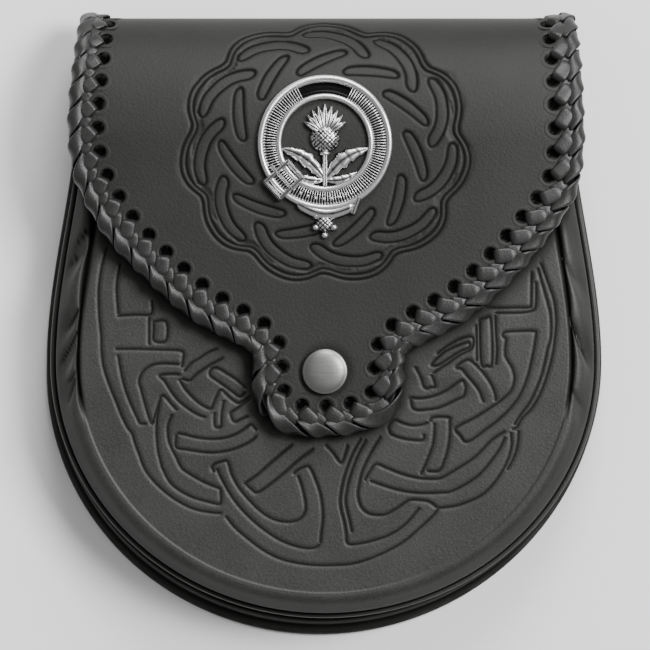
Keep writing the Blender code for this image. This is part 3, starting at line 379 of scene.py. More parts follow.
# Knotwork on the front, as pixels of the photograph
frontKnot = [
    # border down the left, across the foot and up the right
    [(108, 246), (102, 265), (98.5, 290), (99, 315), (101, 336), (101.5, 352), (103, 365), (106, 376),
     (111, 390), (116, 402), (121, 415), (127.5, 428),
     (132, 434), (135, 444), (139.5, 456), (145, 470), (157, 485), (174, 499), (193, 509),
     (210.7, 512.7), (221.4, 513.4)],
    [(226, 517), (235, 528), (249, 540), (264, 551), (280, 559), (298, 563.5), (316, 565.5),
     (335, 565.5), (353, 564), (371, 558.6), (390, 550), (405, 541), (420, 528), (433, 516), (438, 509)],
    [(438.5, 508.5), (460, 505), (485, 493), (503, 470), (511, 449), (511, 433)],
    [(118, 355), (120, 367), (123, 382), (127.5, 396.5), (133, 409.5), (137, 418), (140, 423.6), (146, 424)],
    # squares of the left corner
    [(121, 262), (117.5, 278), (116.5, 292), (118.3, 314.6)],
    [(118.3, 316), (136, 315), (151, 314), (152, 300)],
    [(153.5, 321.7), (166, 321.7), (166, 340.7), (154, 341.2), (153.5, 331), (153.5, 321.7)],
    [(149, 318), (149, 345)],
    [(116, 349.3), (138, 349.3), (160, 350), (178, 350.6), (183.4, 353), (182.8, 360.7), (181.7, 367)],
    [(178.5, 364.5), (171, 364), (162, 363.8), (153.5, 365), (146, 368.8), (141, 374.8), (139, 382.4),
     (141, 390), (143, 397.6), (146, 408.4), (149, 418), (152, 424), (154.6, 417), (157.3, 408.4),
     (159.5, 400.8), (162.2, 395.9), (165.5, 397.6), (171, 404), (177, 410.6)],
    # big left curve and its partner
    [(160, 399.7), (158.4, 408.4), (156.8, 419.3), (156.3, 430), (156.8, 441), (158, 452),
     (160.6, 462.6), (163, 470), (172, 485), (191, 497), (215, 504)],
    [(172, 415), (168.7, 422.5), (167.4, 430), (168.7, 441), (172, 449.6), (175.8, 457),
     (180.6, 467), (186, 472), (203, 482), (220, 489)],
    [(179.6, 374.8), (173, 374.3), (164.4, 374.8), (159.5, 376.2), (164.4, 381.3), (169.8, 390),
     (175.2, 397.6), (181.7, 404), (190.4, 410.6), (199, 415.5), (205.6, 417.6)],
    [(179.6, 380), (184, 388), (189.3, 394.3), (195.8, 400.8), (203.4, 406.3), (210.5, 409),
     (213.2, 404), (216.4, 396.5), (220.2, 390.5), (224, 391.6)],
    [(224, 400.8), (222.4, 408.4), (221.3, 417), (220.8, 426.8), (215.3, 427), (214.3, 419.3),
     (214.8, 412.8)],
    [(184, 371.6), (190.4, 364), (199, 358.5), (208.8, 352), (217.5, 348.2)],
    [(181.7, 379), (189.3, 380.8), (194.7, 375.9), (203.4, 369.4), (212, 364), (223, 358)],
    [(246.8, 388.9), (243.5, 385.7), (235, 379), (225, 372.6), (217.5, 368.3), (211.5, 369),
     (210, 375.5), (217.5, 381.3), (225, 386.7), (233.8, 393.2), (240.3, 397), (246, 392.2)],
    [(223.5, 391.6), (229.4, 397.6), (237, 403), (241.4, 402.5), (251, 396.5)],
    [(251, 398.7), (244.6, 403), (236, 409.5), (230.5, 413.8), (234.3, 422), (241.4, 419.3), (249, 416)],
    # lower left band
    [(177, 433.4), (185, 435), (192.6, 437), (203.4, 438.8), (214.3, 439.3), (225, 438.2), (236, 434.4),
     (244.6, 429), (251, 424.7), (256.5, 430)],
    [(176.5, 434.5), (175.6, 441), (176.5, 448), (187, 450), (198, 451.8), (210, 453), (220.8, 452.3),
     (231.6, 450.2), (241.4, 446.4),
     (250, 442), (256.5, 436.6)],
    # loops of the foot
    [(214, 472), (212, 467.5), (214.5, 464.4), (223, 461.4), (227.6, 462.1), (231.4, 474.4),
     (238.3, 487.4), (249, 500.4), (261, 512), (273.5, 519.5), (287, 522.3), (298, 520.3), (304, 514.2),
     (305.6, 506.5), (302.6, 489.7), (298, 476)],
    [(293.4, 474.4), (298, 470), (307, 466.4), (311, 470), (315.6, 480.5), (320.2, 494.3),
     (322.5, 509.6), (322.5, 521.8), (321, 534), (320.2, 544)],
    [(216.8, 469), (221.4, 479), (229, 492.8), (238.3, 505.8), (250.5, 518.8), (264.3, 530.3),
     (279.6, 540.2), (295, 546.3), (307, 548.6), (315, 547.9), (319.8, 544.5)],
    [(216, 504.5), (220.7, 503), (220.5, 489.5)],
    [(244.4, 484.3), (258, 474.4), (272, 462), (285.7, 450), (292, 445)],
    [(245.5, 484), (252.8, 491), (257.4, 492.8), (267.4, 486.6), (282.7, 474.4), (298, 460.6), (313.3, 449)],
    [(325.5, 445), (333, 453), (341, 463), (345.4, 453), (347.7, 445)],
    [(360.7, 439), (353, 453), (347, 468), (342.4, 483.6), (340, 499), (340.8, 509.6), (344, 522),
     (346, 534), (347.7, 544), (359, 544), (373, 541), (386.7, 536.4), (399, 529.5), (408, 521.8),
     (415.8, 512.7), (419.7, 508)],
    [(366, 440), (358.5, 454), (352.5, 469), (348, 484), (345.6, 499), (346.4, 508), (349.5, 521),
     (352, 533)],
    [(380.6, 437), (376, 444), (368.4, 457.6), (362.3, 471.3), (359.2, 483.6), (357.7, 494.3), (360, 505),
     (365.3, 512), (373, 515), (383.7, 515), (393, 511), (402, 505), (409.7, 500.4), (418.9, 500.4),
     (429, 502), (437.5, 508)],
    [(364.5, 480.5), (370, 471.3), (376, 464.4), (386.7, 468.3), (402, 474.4), (417.4, 478.2),
     (429.6, 479.3), (440, 478.7), (449, 474), (474, 458), (491, 441), (505, 431.5)],
    [(370.7, 481.3), (383.7, 486), (399, 490.5), (414.3, 493), (429.6, 493.5), (440, 493), (453, 491),
     (478, 476), (497, 453), (505, 438)],
    # border of the right side and its corner
    [(541, 264), (549, 286), (553.7, 300), (555.3, 311), (556, 324), (554.8, 337), (553.2, 350),
     (550.5, 363), (546.7, 376), (541.8, 390), (536.4, 401), (530, 410.6), (522.3, 418), (516.8, 427),
     (512.5, 430)],
    [(538, 269), (546.7, 300), (550, 313), (551, 326), (550.5, 339), (547.2, 350), (545, 361),
     (541.2, 376), (535.3, 391), (528.8, 404), (521.2, 414), (514.7, 424.7)],
    [(485.4, 307), (498.4, 307.8), (514.7, 307.8), (528.8, 307.6), (531, 304), (531.5, 273)],
    [(496.3, 313), (518, 313), (531, 311.3), (535.5, 306), (536, 283)],
    [(479.4, 319.5), (481, 363), (487, 366), (492, 363), (490.8, 320.6), (485, 318), (479.4, 319.5)],
    [(495.2, 316), (495.7, 332.5), (496.8, 349), (495.7, 365)],
    [(476.2, 325), (477, 361)],
    [(506, 339), (502.8, 336), (505, 332.5), (518, 331.4), (534.2, 331.4), (535.8, 334.7), (534.2, 346.6),
     (532, 357.5), (530, 367), (527, 378), (523, 389), (517, 400), (509.3, 409.5), (501.7, 417),
     (494, 423.6), (485.4, 430), (476.7, 436.6), (470, 441), (464.8, 442), (460.5, 436.6), (455, 429.6),
     (461.6, 424.7), (472.4, 419.3), (483.2, 412.8), (493, 406.3), (500.6, 401), (507, 395.4),
     (511.4, 390), (514, 382.4), (514, 375), (511.4, 367), (507.6, 361), (505, 354), (506, 339)],
    # slanting slots right of the tab
    [(436.6, 354), (446.4, 346.6), (457, 340), (466, 337), (472.4, 337.4), (473.5, 343.4), (470, 350),
     (459.4, 355.3), (448.5, 363), (438.8, 369.4), (433.4, 373.7)],
    [(433.4, 365.6), (431.7, 365), (434.5, 360.7), (444, 352), (455, 346.6), (466, 342.8), (469.7, 343.4),
     (469, 347.7), (459.4, 352), (448.5, 359), (437.7, 365.6), (433.4, 365.6)],
    [(483.8, 402.5), (482.2, 398.7), (479, 391), (473.5, 383.5), (467, 376), (461.6, 369.4),
     (456.5, 368), (459.4, 364), (467, 360.2), (472.4, 362.3), (480, 369.4), (485.4, 376),
     (489.7, 382.4), (493, 389), (495.2, 395.4), (495.7, 401)],
    [(415, 367), (418.7, 373.7), (421.4, 380), (423.6, 386.7), (427, 389), (430, 387.8), (435, 386.7),
     (433.4, 380), (431.2, 374.8)],
    [(410.6, 398), (420.4, 398.7), (431, 397), (442, 393), (450.7, 387.8), (458.3, 382.4), (462.6, 380.8),
     (465.4, 386.7), (464.8, 393), (462.5, 397.2), (457, 399.7), (448.5, 404), (437.7, 408.4), (427, 410),
     (418, 410.6), (412.8, 408.4), (411, 403), (410.6, 398)],
    [(430, 421.4), (433.4, 417.6), (448.5, 417.6), (449.6, 421.4), (449.6, 435.5), (448, 447.5),
     (444.5, 460), (439, 471), (427, 471.5)],
    [(434.5, 423.6), (434, 435.5), (432.3, 446.4), (427, 460.5), (421, 474.4)],
    [(390, 434), (388.5, 426), (394.3, 420.3), (403, 423.6), (412.8, 425.8), (422.5, 424.7), (428, 422.5)],
    [(390, 434), (398.7, 437.7), (409.5, 440), (422.5, 440.4), (424, 434.4)],
    # lower right
    [(518.5, 431), (518, 441), (515.8, 452), (511.4, 462.6), (507, 470)],
]

# Lacing along the flap's edge
lacing = {
    "holeHalfWidth": 75.0,
    "holeDrop": 127.3,
    "inset": 7.9,
    "stitches": 45,
    "stepsPerStitch": 48,
    "behind": 4.0,
    "laceWidth": 4.7,
    "laceThick": 1.05,
    "overhang": 2.1,
    "slantLeft": 0.50,
    "slantRight": 0.88,
}
# across and down as shares of the hole sizes, and inset as a share of the inset
holeLine = [
    (-0.933, 0.000, 0.93), (-0.968, 0.100, 0.93), (-0.992, 0.243, 0.93), (-0.984, 0.346, 0.95),
    (-0.947, 0.412, 1.00), (-0.840, 0.514, 1.08), (-0.684, 0.610, 1.10), (-0.513, 0.699, 1.10),
    (-0.360, 0.754, 1.06), (-0.267, 0.789, 1.00), (-0.208, 0.828, 0.95), (-0.187, 0.879, 0.94),
    (-0.188, 0.927, 0.94), (-0.168, 0.976, 0.95), (-0.101, 0.998, 0.95), (0.008, 1.000, 0.95),
    (0.121, 0.991, 0.95), (0.195, 0.971, 0.95), (0.212, 0.921, 0.94), (0.216, 0.880, 0.94),
    (0.241, 0.825, 0.95), (0.307, 0.785, 1.00), (0.400, 0.752, 1.06), (0.543, 0.703, 1.10),
    (0.715, 0.613, 1.10), (0.873, 0.504, 1.08), (0.971, 0.419, 1.00), (1.000, 0.323, 0.95),
    (1.000, 0.224, 0.93), (0.989, 0.102, 0.93), (0.960, 0.000, 0.93),
]

lineDown, lineY, lineZ = middleLine()


def lacingLine(steps):
    # the hole line as across, down and inset in even steps, and the way out to the leather's edge
    table = np.array(holeLine)
    down = downAt(fold["topY"] - table[:, 1] * lacing["holeDrop"])
    shape = np.column_stack([table[:, 0] * lacing["holeHalfWidth"], down, table[:, 2] * lacing["inset"]])
    line = spline(shape, 12)
    back = np.array([0.0, lacing["behind"], 0.0])
    line = np.concatenate([line[:1] - back, line, line[-1:] - back])
    length = np.concatenate([[0.0], np.cumsum(np.hypot(*np.diff(line[:, :2], axis=0).T))])
    at = np.linspace(0.0, length[-1], steps)
    line = np.column_stack([np.interp(at, length, line[:, k]) for k in (0, 1, 2)])
    along = unit(np.gradient(line[:, :2], axis=0))
    return line, np.column_stack([-along[:, 1], along[:, 0]])


laceLine, laceOut = lacingLine(lacing["stitches"] * lacing["stepsPerStitch"] + 1)
laceTurn = np.linspace(0.0, lacing["stitches"], len(laceLine))
holes = laceLine[lacing["stepsPerStitch"] // 2 :: lacing["stepsPerStitch"], :2]


def lacePoint(stitch, beyond):
    # A place by the flap's edge: how many stitches along, and how far beyond the leather's edge.
    # Gives the point on the leather's face or level with it, the face's normal and the way out.
    x, down, inset = (np.interp(stitch, laceTurn, laceLine[:, k]) for k in (0, 1, 2))
    outX, outDown = (np.interp(stitch, laceTurn, laceOut[:, k]) for k in (0, 1))
    way = inset + np.minimum(beyond, 0.0)
    x, down = x + outX * way, down + outDown * way
    point = sheetPoint(x, down)
    out = unit(sheetPoint(x + outX * 0.2, down + outDown * 0.2) - point)
    return point + out * np.maximum(beyond, 0.0)[..., None], sheetNormal(x, down), out


flapGrid = {"side": 330, "top": 300, "middleRows": 8, "ringFrom": 21.0, "ringTo": 47.0, "ringStep": 0.5,
            "outerRows": 34, "foldRows": 9, "backRows": 30, "innerEvery": 10}
laceShade = {"reach": 6.8, "fade": 2.5, "dark": 0.8}
holePit = {"radius": 2.3, "bank": 0.6, "depth": 1.7}
snap = {"y": -15.7, "radius": 7.55, "dimple": 0.25, "dimpleWidth": 1.2, "dimpleDark": 0.35}


def pressedLeather(x, down, pressed=0.0):
    # the outside with what is pressed into it: tooled lines, holes and a dimple round the snap
    # the second value is painted shade: full in the hole pits, weaker in the dimple round the snap
    apart = np.linalg.norm(np.stack([x, down], axis=-1)[..., None, :] - holes, axis=-1).min(axis=-1)
    pit = smoothStep((holePit["radius"] - apart) / holePit["bank"])
    snapGap = np.hypot(x, down - float(downAt(snap["y"])))
    dimple = np.exp(-(((snapGap - snap["radius"]) / snap["dimpleWidth"]) ** 2))
    deep = pressed + holePit["depth"] * pit + snap["dimple"] * dimple
    point = sheetPoint(x, down) - sheetNormal(x, down) * deep[..., None]
    return point, np.maximum(pit, snap["dimpleDark"] * dimple)


def roundRim(outside, inside):
    # a round edge between the outside's closed border and the inside's: half an ellipse standing out
    mid = (outside + inside) / 2.0
    along = unit(np.roll(mid, -2, axis=0) - np.roll(mid, 2, axis=0))
    out = np.cross(along, unit(inside - outside))
    pouchMiddle = [0.0, -5.0, 0.0]
    out = out * np.sign(((mid - pouchMiddle) * out)[:, :2].sum(axis=1))[:, None]
    turn = np.linspace(0.0, math.pi, 7)[:, None, None]
    rim = mid[None] + (outside - mid)[None] * np.cos(turn) + out[None] * (np.sin(turn) * fold["edgeRound"])
    rim[:, -1] = rim[:, 0]
    return rim


def stitchedFans(fine, coarse, ends):
    # triangles between two borders: coarse point j stands for the fine points from ends[j] to ends[j + 1]
    k, j = np.arange(len(fine) - 1), np.arange(len(coarse) - 1)
    near = np.searchsorted(ends, k, side="right") - 1
    fans = np.stack([fine[k], fine[k + 1], coarse[near]], axis=1)
    return [fans, np.stack([coarse[j], coarse[j + 1], fine[ends[j + 1]]], axis=1)]


def outwards(edge, sign=1.0):
    # square to an outline, away from the pouch
    along = unit(np.gradient(edge, axis=0))
    return np.column_stack([along[:, 1], -along[:, 0]]) * sign


def backSpread(edge):
    # how far the back stands out past the lip: by a power of the cosine of the turn from the foot
    turn = np.clip(np.arctan2(edge[:, 0], body["widestY"] - edge[:, 1]), -math.pi / 2.0, math.pi / 2.0)
    share = np.clip(np.cos(turn + fold["spreadTurn"]), 0.0, 1.0) ** 1.5
    return fold["spreadSide"] + (fold["spreadFoot"] - fold["spreadSide"]) * share


def backHalf(sign):
    # Half of the back panel: rows from its middle line out to its edge, columns from the foot to the top.
    # The edge is the lip's, spread outwards most round the foot.
    angles, rises = np.radians(np.linspace(0.0, 90.0, 40)), np.linspace(0.0, 1.0, 28)[1:]
    edge = bodyOutline(1.0, angles, rises) * [sign, 1.0]
    middle = np.maximum(edge[:, 1], body["widestY"])
    edge = edge + outwards(edge, sign) * backSpread(edge)[:, None]
    edge[0] = [0.0, edge[0, 1]]
    topY = fold["topY"] - fold["radius"] - fold["seamBelow"]
    top = np.array([[sign * (lacing["holeHalfWidth"] + fold["seamBeyond"]), topY]])
    edge = np.concatenate([edge, np.linspace(edge[-1], top[0], 8)[1:]])
    middle = np.concatenate([middle, np.linspace(middle[-1], topY, 8)[1:]])
    share = np.linspace(0.0, 1.0, flapGrid["backRows"] + 1)[:, None, None]
    flat = np.column_stack([np.zeros(len(middle)), middle])[None] * (1.0 - share) + edge[None] * share
    return np.dstack([flat, backZ(flat[..., 1])])


def flapAndBack():
    # One leather: the flap is a fan of columns from the badge's middle to the outline, the fold a
    # strip over the top, and the back two halves from its middle line to its own outline.
    g = flapGrid
    edge = laceLine[:, :2] + laceOut * laceLine[:, 2:]
    edge = edge[edge[:, 1] >= 0.0]
    edge[0, 1] = edge[-1, 1] = 0.0
    side = evenly(edge, g["side"])
    top = np.linspace(side[-1], side[0], g["top"] + 1)
    loop = np.concatenate([side, top[1:]])
    middle = np.array([0.0, float(downAt(ring["centreY"]))])
    radii = np.arange(g["ringFrom"] + g["ringStep"], g["ringTo"] + 0.1, g["ringStep"])
    radii = np.concatenate([np.linspace(0.0, g["ringFrom"], g["middleRows"]), radii])
    fan = middle + unit(loop - middle)[None] * radii[:, None, None]
    share = np.linspace(0.0, 1.0, g["outerRows"] + 1)[1:, None, None]
    flat = np.concatenate([fan, fan[-1:] * (1.0 - share) + loop[None] * share])
    x, down = flat[..., 0], flat[..., 1]
    plane = ringPlane(x, down)
    fields, sunk = strokeField(ringStrokes(), plane)
    sunk = sunk * (np.linalg.norm(plane, axis=1) < ring["slotsWithin"])
    pressed = (tool["depth"] * toolDepth(fields) + tool["sink"] * sunk).reshape(x.shape)
    outer, shade = pressedLeather(x, down, pressed)
    # painted shade on the flap along its laced sides: dark near the edge, under and between the strips
    edgeGap = np.linalg.norm(flat - loop[None], axis=-1)
    tucked = laceShade["dark"] * smoothStep((laceShade["reach"] - edgeGap) / laceShade["fade"])
    tucked[:, g["side"] + 2 :] = 0.0
    shade = np.maximum(shade, tucked)
    cross = np.broadcast_to(top[::-1, 0], (g["foldRows"], len(top)))
    behind = np.linspace(0.0, lineDown[0], g["foldRows"])[:, None] * np.ones(len(top))
    foldOuter, foldShade = pressedLeather(cross, behind)

    # the inside, a leather's thickness in and with fewer rows
    inRows = np.concatenate([[0], np.arange(2, len(flat) - 1, g["innerEvery"]), [len(flat) - 1]])
    inner = [sheetPoint(a, b) - sheetNormal(a, b) * fold["thick"] for a, b in
             ((x[inRows], down[inRows]), (cross, behind))]
    inner[0] = np.concatenate([np.broadcast_to(inner[0][:1, :1], inner[0][:1].shape), inner[0]])
    backs = [backHalf(1.0), backHalf(-1.0)]
    innerBacks = [b + [0.0, 0.0, fold["thick"]] for b in backs]
    borders, tris = [], []
    ends = np.arange(2 * g["backRows"] + 1) * (g["top"] // (2 * g["backRows"]))
    for flap, folded, (right, left) in ((outer, foldOuter, backs), (inner[0], inner[1], innerBacks)):
        seam = np.concatenate([left[::-1, -1], right[1:, -1]])
        tris += stitchedFans(folded[-1], seam, ends)
        borders.append(np.concatenate([
            flap[-1, : g["side"] + 1], folded[1:, -1], right[-1, ::-1], left[-1, 1:], folded[::-1, 0],
        ]))
    rim = roundRim(*borders)
    grids = [outer, foldOuter, *backs, *inner, *innerBacks, rim]
    rest = [None] * (len(grids) - 2)
    marks = {f"tool{k}": [f.reshape(*x.shape, 3), None, *rest] for k, f in enumerate(fields)}
    # the dark mark is painted shade: the pits, the dimple and the laced edge
    marks["dark"] = [shade, foldShade, *rest]
    # the flap's edge and its rim rub lighter, which also paints a highlight there
    wearAndHighlight = np.zeros(x.shape)
    wearAndHighlight[-6:, : g["side"] + 1] = np.linspace(0.0, 1.0, 6)[:, None]
    marks["wearAndHighlight"] = [wearAndHighlight, *rest, np.ones(rim.shape[:2])]
    return closedPiece("flapAndBack", grids, marks, tris), len(fields)


# Section of the front's border, as shares of the way out to the lip's edge and of the height from the
# lip to the crease
wallSection = [(0.0, 1.0), (0.16, 0.995), (0.30, 0.965), (0.46, 0.89), (0.60, 0.77), (0.70, 0.61),
               (0.765, 0.43), (0.79, 0.22), (0.80, 0.0)]
lipSection = [(0.83, 0.0), (0.90, 0.012), (0.955, 0.012), (0.985, -0.01), (1.0, -0.045)]
frontGrid = {"foot": 225, "flank": (60, 34), "flankSplit": 0.36, "middleRows": 10, "middleShare": 0.30,
             "faceRows": 84, "edgeRows": 8, "edgeShare": 0.025, "wallSteps": 60, "innerEvery": 12}
# grooveFrom and widerFrom are a row of the photograph and the millimetres over which it comes in
# dark: how strongly the crease's groove is painted with shade
crease = {"step": 0.30, "stepRun": 0.6, "depth": 1.7, "width": 0.65, "widening": 0.65, "rightWidening": 0.3,
          "grooveFrom": (425, 12.0), "widerFrom": (330, 32.0), "foldDepth": 0.9, "dark": 1.1}
# painted shade at the wall's foot and, weaker, down the wall to it
footDark = {"line": 0.82, "width": 0.045, "wall": 0.55, "wallFrom": 0.35, "wallRun": 0.4}
# painted shadow of the flap on the front: how dark it is, and its reach in mm
paintedFlapShadow = {"dark": 0.95, "reach": 3.8}

# Creases in the border's sides: upper and lower end in pixels of the photograph, half width in mm, strength
# a crease's strength sets both its depth and its painted shade
borderFolds = [
    (87, 230, 72, 253, 0.55, 1.0), (79, 256, 65, 273, 0.45, 0.8), (78, 311, 66, 334, 0.50, 0.9),
    (77, 333, 57, 374, 0.50, 1.0), (75, 373, 67, 386, 0.40, 0.8), (75, 380, 67, 408, 0.45, 0.7),
    (562, 257, 580, 286, 0.60, 0.5), (569, 318, 593, 378, 0.55, 1.0), (572, 391, 586, 413, 0.60, 0.5),
    (540, 548, 549, 541, 0.50, 0.4), (537, 552, 545, 556, 0.50, 0.4),
]

# Wide folds in the border: side, height as a share of the way to the mouth, slant down the wall,
# depth and spread as shares of the wall's run
pleats = [
    (-1, 0.45, 0.16, 0.16, 0.50), (-1, 0.19, 0.12, 0.15, 0.50), (-1, 0.08, 0.16, 0.16, 0.50),
    (-1, -0.05, 0.10, 0.10, 0.50), (1, 0.36, 0.12, 0.10, 0.50), (1, 0.16, 0.20, 0.17, 0.50),
    (1, -0.11, 0.12, 0.08, 0.50),
]


def pleatDepth(x, y, out):
    # each fold is a bell across the wall's height, deepest half way down it
    way = body["mouthY"] - body["widestY"]
    depth = np.zeros_like(x)
    for side, height, slant, deep, spread in pleats:
        middle = body["widestY"] + (height - slant * out) * way
        bell = np.exp(-(((y - middle) / (spread * body["wallRun"])) ** 2))
        depth += np.where(np.sign(x) == side, deep * body["wallRun"] * bell, 0.0)
    return depth * np.sin(math.pi * np.minimum(1.0, out / wallSection[-1][0]))


def foldMark(x, y):
    # each crease is a soft trough along a straight line, deepest at its upper end and gone at its foot
    deep = np.zeros_like(x)
    for ax, ay, bx, by, width, strength in borderFolds:
        a, b = fromPhoto([(ax, ay), (bx, by)])
        way = b - a
        share = np.clip(((x - a[0]) * way[0] + (y - a[1]) * way[1]) / (way @ way), 0.0, 1.0)
        gap = np.hypot(x - a[0] - share * way[0], y - a[1] - share * way[1])
        deep = np.maximum(deep, strength * (1.0 - share**3) * np.exp(-((gap / width) ** 2)))
    return deep


def underFlap(places):
    # painted shadow of the flap on the front: a bell of the distance to the flap's edge
    edge = laceLine[::8, :2] + laceOut[::8] * laceLine[::8, 2:]
    edge = sheetPoint(edge[:, 0], edge[:, 1])[:, :2]
    gap = np.full(places.shape[:2], np.inf)
    for point in edge:
        gap = np.minimum(gap, np.hypot(places[..., 0] - point[0], places[..., 1] - point[1]))
    return paintedFlapShadow["dark"] * np.exp(-((gap / paintedFlapShadow["reach"]) ** 2))


def footShade(outs):
    # painted shade of a row: a bell at the wall's foot, and an S down the wall that ends there
    bell = np.exp(-(((outs - footDark["line"]) / footDark["width"]) ** 2))
    wall = footDark["wall"] * smoothStep((outs - footDark["wallFrom"]) / footDark["wallRun"])
    return np.maximum(bell, wall * (outs < wallSection[-1][0]))


def upFrom(y, row, run):
    # an S that starts at a row of the photograph and is 1 a run above it
    return smoothStep((y - fromPhoto([(0, row)])[0, 1]) / run)[None, :]


def frontRows():
    # The front's right half before anything is pressed in. Rows go from the middle line to the crease, as
    # shares of the straight way between them, and then by the border's section to the lip. Columns go
    # from the foot up the flank to the mouth. Also each row's way out, and the number of the face's rows.
    g = frontGrid
    split, (low, high) = g["flankSplit"], g["flank"]
    rises = np.concatenate([np.linspace(0.0, split, low)[1:], np.linspace(split, 1.0, high)[1:]])
    angles = np.radians(np.linspace(0.0, 90.0, g["foot"]))
    wall = evenly(spline(wallSection, 8), g["wallSteps"])
    picks = np.concatenate([np.arange(0, 6), np.arange(8, g["wallSteps"] + 1, 3), [g["wallSteps"]]])
    section = np.concatenate([wall[np.unique(picks)], lipSection])
    middle, near = g["middleShare"], 1.0 - g["edgeShare"]
    share = [np.linspace(0.0, middle, g["middleRows"]), np.linspace(middle, near, g["faceRows"])[1:],
             np.linspace(near, 1.0, g["edgeRows"] + 1)[1:]]
    share = np.concatenate(share)[:, None, None]
    border = bodyOutline(0.0, angles, rises)
    spine = np.column_stack([np.zeros(len(border)), np.maximum(border[:, 1], body["widestY"])])
    face = spine[None] * (1.0 - share) + border[None] * share
    rows = [np.dstack([face, faceZ(face[..., 0], face[..., 1])])]
    for out, rise in section[1:]:
        line = bodyOutline(out, angles, rises)
        z = body["lipZ"] + rise * (creaseZ(line[:, 1]) - body["lipZ"])
        rows.append(np.column_stack([line, z])[None])
    outs = np.concatenate([np.zeros(len(face)), section[1:, 0]])[:, None]
    return np.concatenate(rows), outs, len(face)


def frontInside(base, faceCount):
    # the inside: fewer rows, a leather's thickness in along the normals, and straight down at the lip
    last = len(base) - 1
    normal = unit(np.cross(np.gradient(base, axis=0), np.gradient(base, axis=1)))
    faceRows = np.arange(4, faceCount - 8, frontGrid["innerEvery"])
    wallRows = np.arange(faceCount + 5, last - 5, 4)
    inRows = np.concatenate([[0], faceRows, [faceCount - 8, faceCount + 2], wallRows, [last - 5, last]])
    below = [0.0, 0.0, body["thick"]]
    inner = base[inRows] - normal[inRows] * body["thick"]
    inner[-1] = base[-1] - below
    inner[-2] = base[-6] - below - unit(normal[-9] * [1.0, 1.0, 0.0]) * body["thick"]
    inner[0, :, 0] = inner[:, 0, 0] = 0.0
    return inner, inRows


def pouchFront():
    # Both halves of the front. Each place goes down by the tooled lines, the crease's groove (a bell of
    # the distance from it), the face's step below the crease, and the creases of the border.
    base, outs, faceCount = frontRows()
    inner, inRows = frontInside(base, faceCount)
    across = np.linalg.norm(np.diff(base, axis=0), axis=-1)
    away = np.concatenate([np.zeros((1, base.shape[1])), np.cumsum(across, axis=0)])
    away = away - away[faceCount - 1]
    flank = upFrom(base[faceCount - 1, :, 1], *crease["grooveFrom"])
    upFlank = upFrom(base[faceCount - 1, :, 1], *crease["widerFrom"])
    halves, places = [], []
    for sign in (1.0, -1.0):
        half = base * [sign, 1.0, 1.0]
        push = pleatDepth(half[..., 0], half[..., 1], outs)
        half = half - np.stack([np.sign(half[..., 0]) * push, np.zeros_like(push), 0.6 * push], axis=-1)
        halves.append(half)
        places.append(half.reshape(-1, 3)[:, :2])
    strokes = [spline(line, 5) if len(line) > 2 else evenly(line, 8) for line in map(fromPhoto, frontKnot)]
    fields, _ = strokeField(strokes, np.concatenate(places))
    pressed = toolDepth(fields).reshape(2, *base.shape[:2])
    grids, tris, darks = [], [], []
    for half, lines, sign in zip(halves, pressed, (1.0, -1.0)):
        wider = crease["widening"] * upFlank * (1.0 if sign < 0.0 else crease["rightWidening"])
        groove = flank * np.exp(-((away / (crease["width"] + wider)) ** 2))
        folds = foldMark(half[..., 0], half[..., 1]) * (away > -0.4)
        level = crease["step"] * (1.0 - flank) * smoothStep(-away / crease["stepRun"])
        drop = tool["depth"] * lines + crease["depth"] * groove + level + crease["foldDepth"] * folds
        half = half - np.stack([np.zeros_like(drop), np.zeros_like(drop), drop], axis=-1)
        own = inner * [sign, 1.0, 1.0]
        grids += [half, own, np.stack([half[-1], own[-1]])]
        tris += stitchedFans(half[:, -1], own[:, -1], inRows)
        # painted shade: the crease's groove, the border's creases, the wall's foot and the flap's shadow on
        # the front
        atFoot = footShade(outs) * np.ones(half.shape[1])
        shade = np.maximum.reduce([groove * crease["dark"], folds, atFoot, underFlap(half[..., :2])])
        darks += [np.clip(shade, 0.0, 1.0), None, None]
    marks = {"dark": darks}
    for k, field in enumerate(fields):
        first, second = field.reshape(2, *base.shape[:2], 3)
        marks[f"tool{k}"] = [first, None, None, second, None, None]
    # the lip's edge rubs lighter, which also paints its highlight
    wearAndHighlight = np.zeros(base.shape[:2])
    wearAndHighlight[-3:] = 1.0
    marks["wearAndHighlight"] = [wearAndHighlight, None, None, wearAndHighlight, None, None]
    return closedPiece("pouchFront", grids, marks, tris), len(fields)


gussetThick = 1.4
# inset from the outline, share of the back's spread, share of the height to the lip, and lift in mm
gussetSection = [
    (0.3, 0.0, 1.0, 0.0), (3.0, 0.0, 1.0, 0.0), (3.6, 0.0, 0.96, 0.0), (3.7, 0.0, 0.8, 0.0),
    (3.5, 0.1, 0.45, 0.0), (3.0, 0.15, 0.12, 0.0), (2.2, 0.20, 0.0, 0.2), (1.6, 0.26, 0.0, 1.6),
    (1.3, 0.34, 0.0, 2.7), (1.2, 0.42, 0.0, 3.0), (1.1, 0.50, 0.0, 2.8), (1.0, 0.58, 0.0, 1.8),
    (1.0, 0.64, 0.0, 0.5), (0.9, 0.72, 0.0, 0.0), (0.8, 1.0, 0.0, 0.0),
]
# painted shade in its hollows, by the section's points
gussetDark = ([2, 3, 6, 8, 10, 12, 13, 14], [0.0, 0.6, 0.7, 0.1, 0.1, 0.9, 0.8, 0.2])


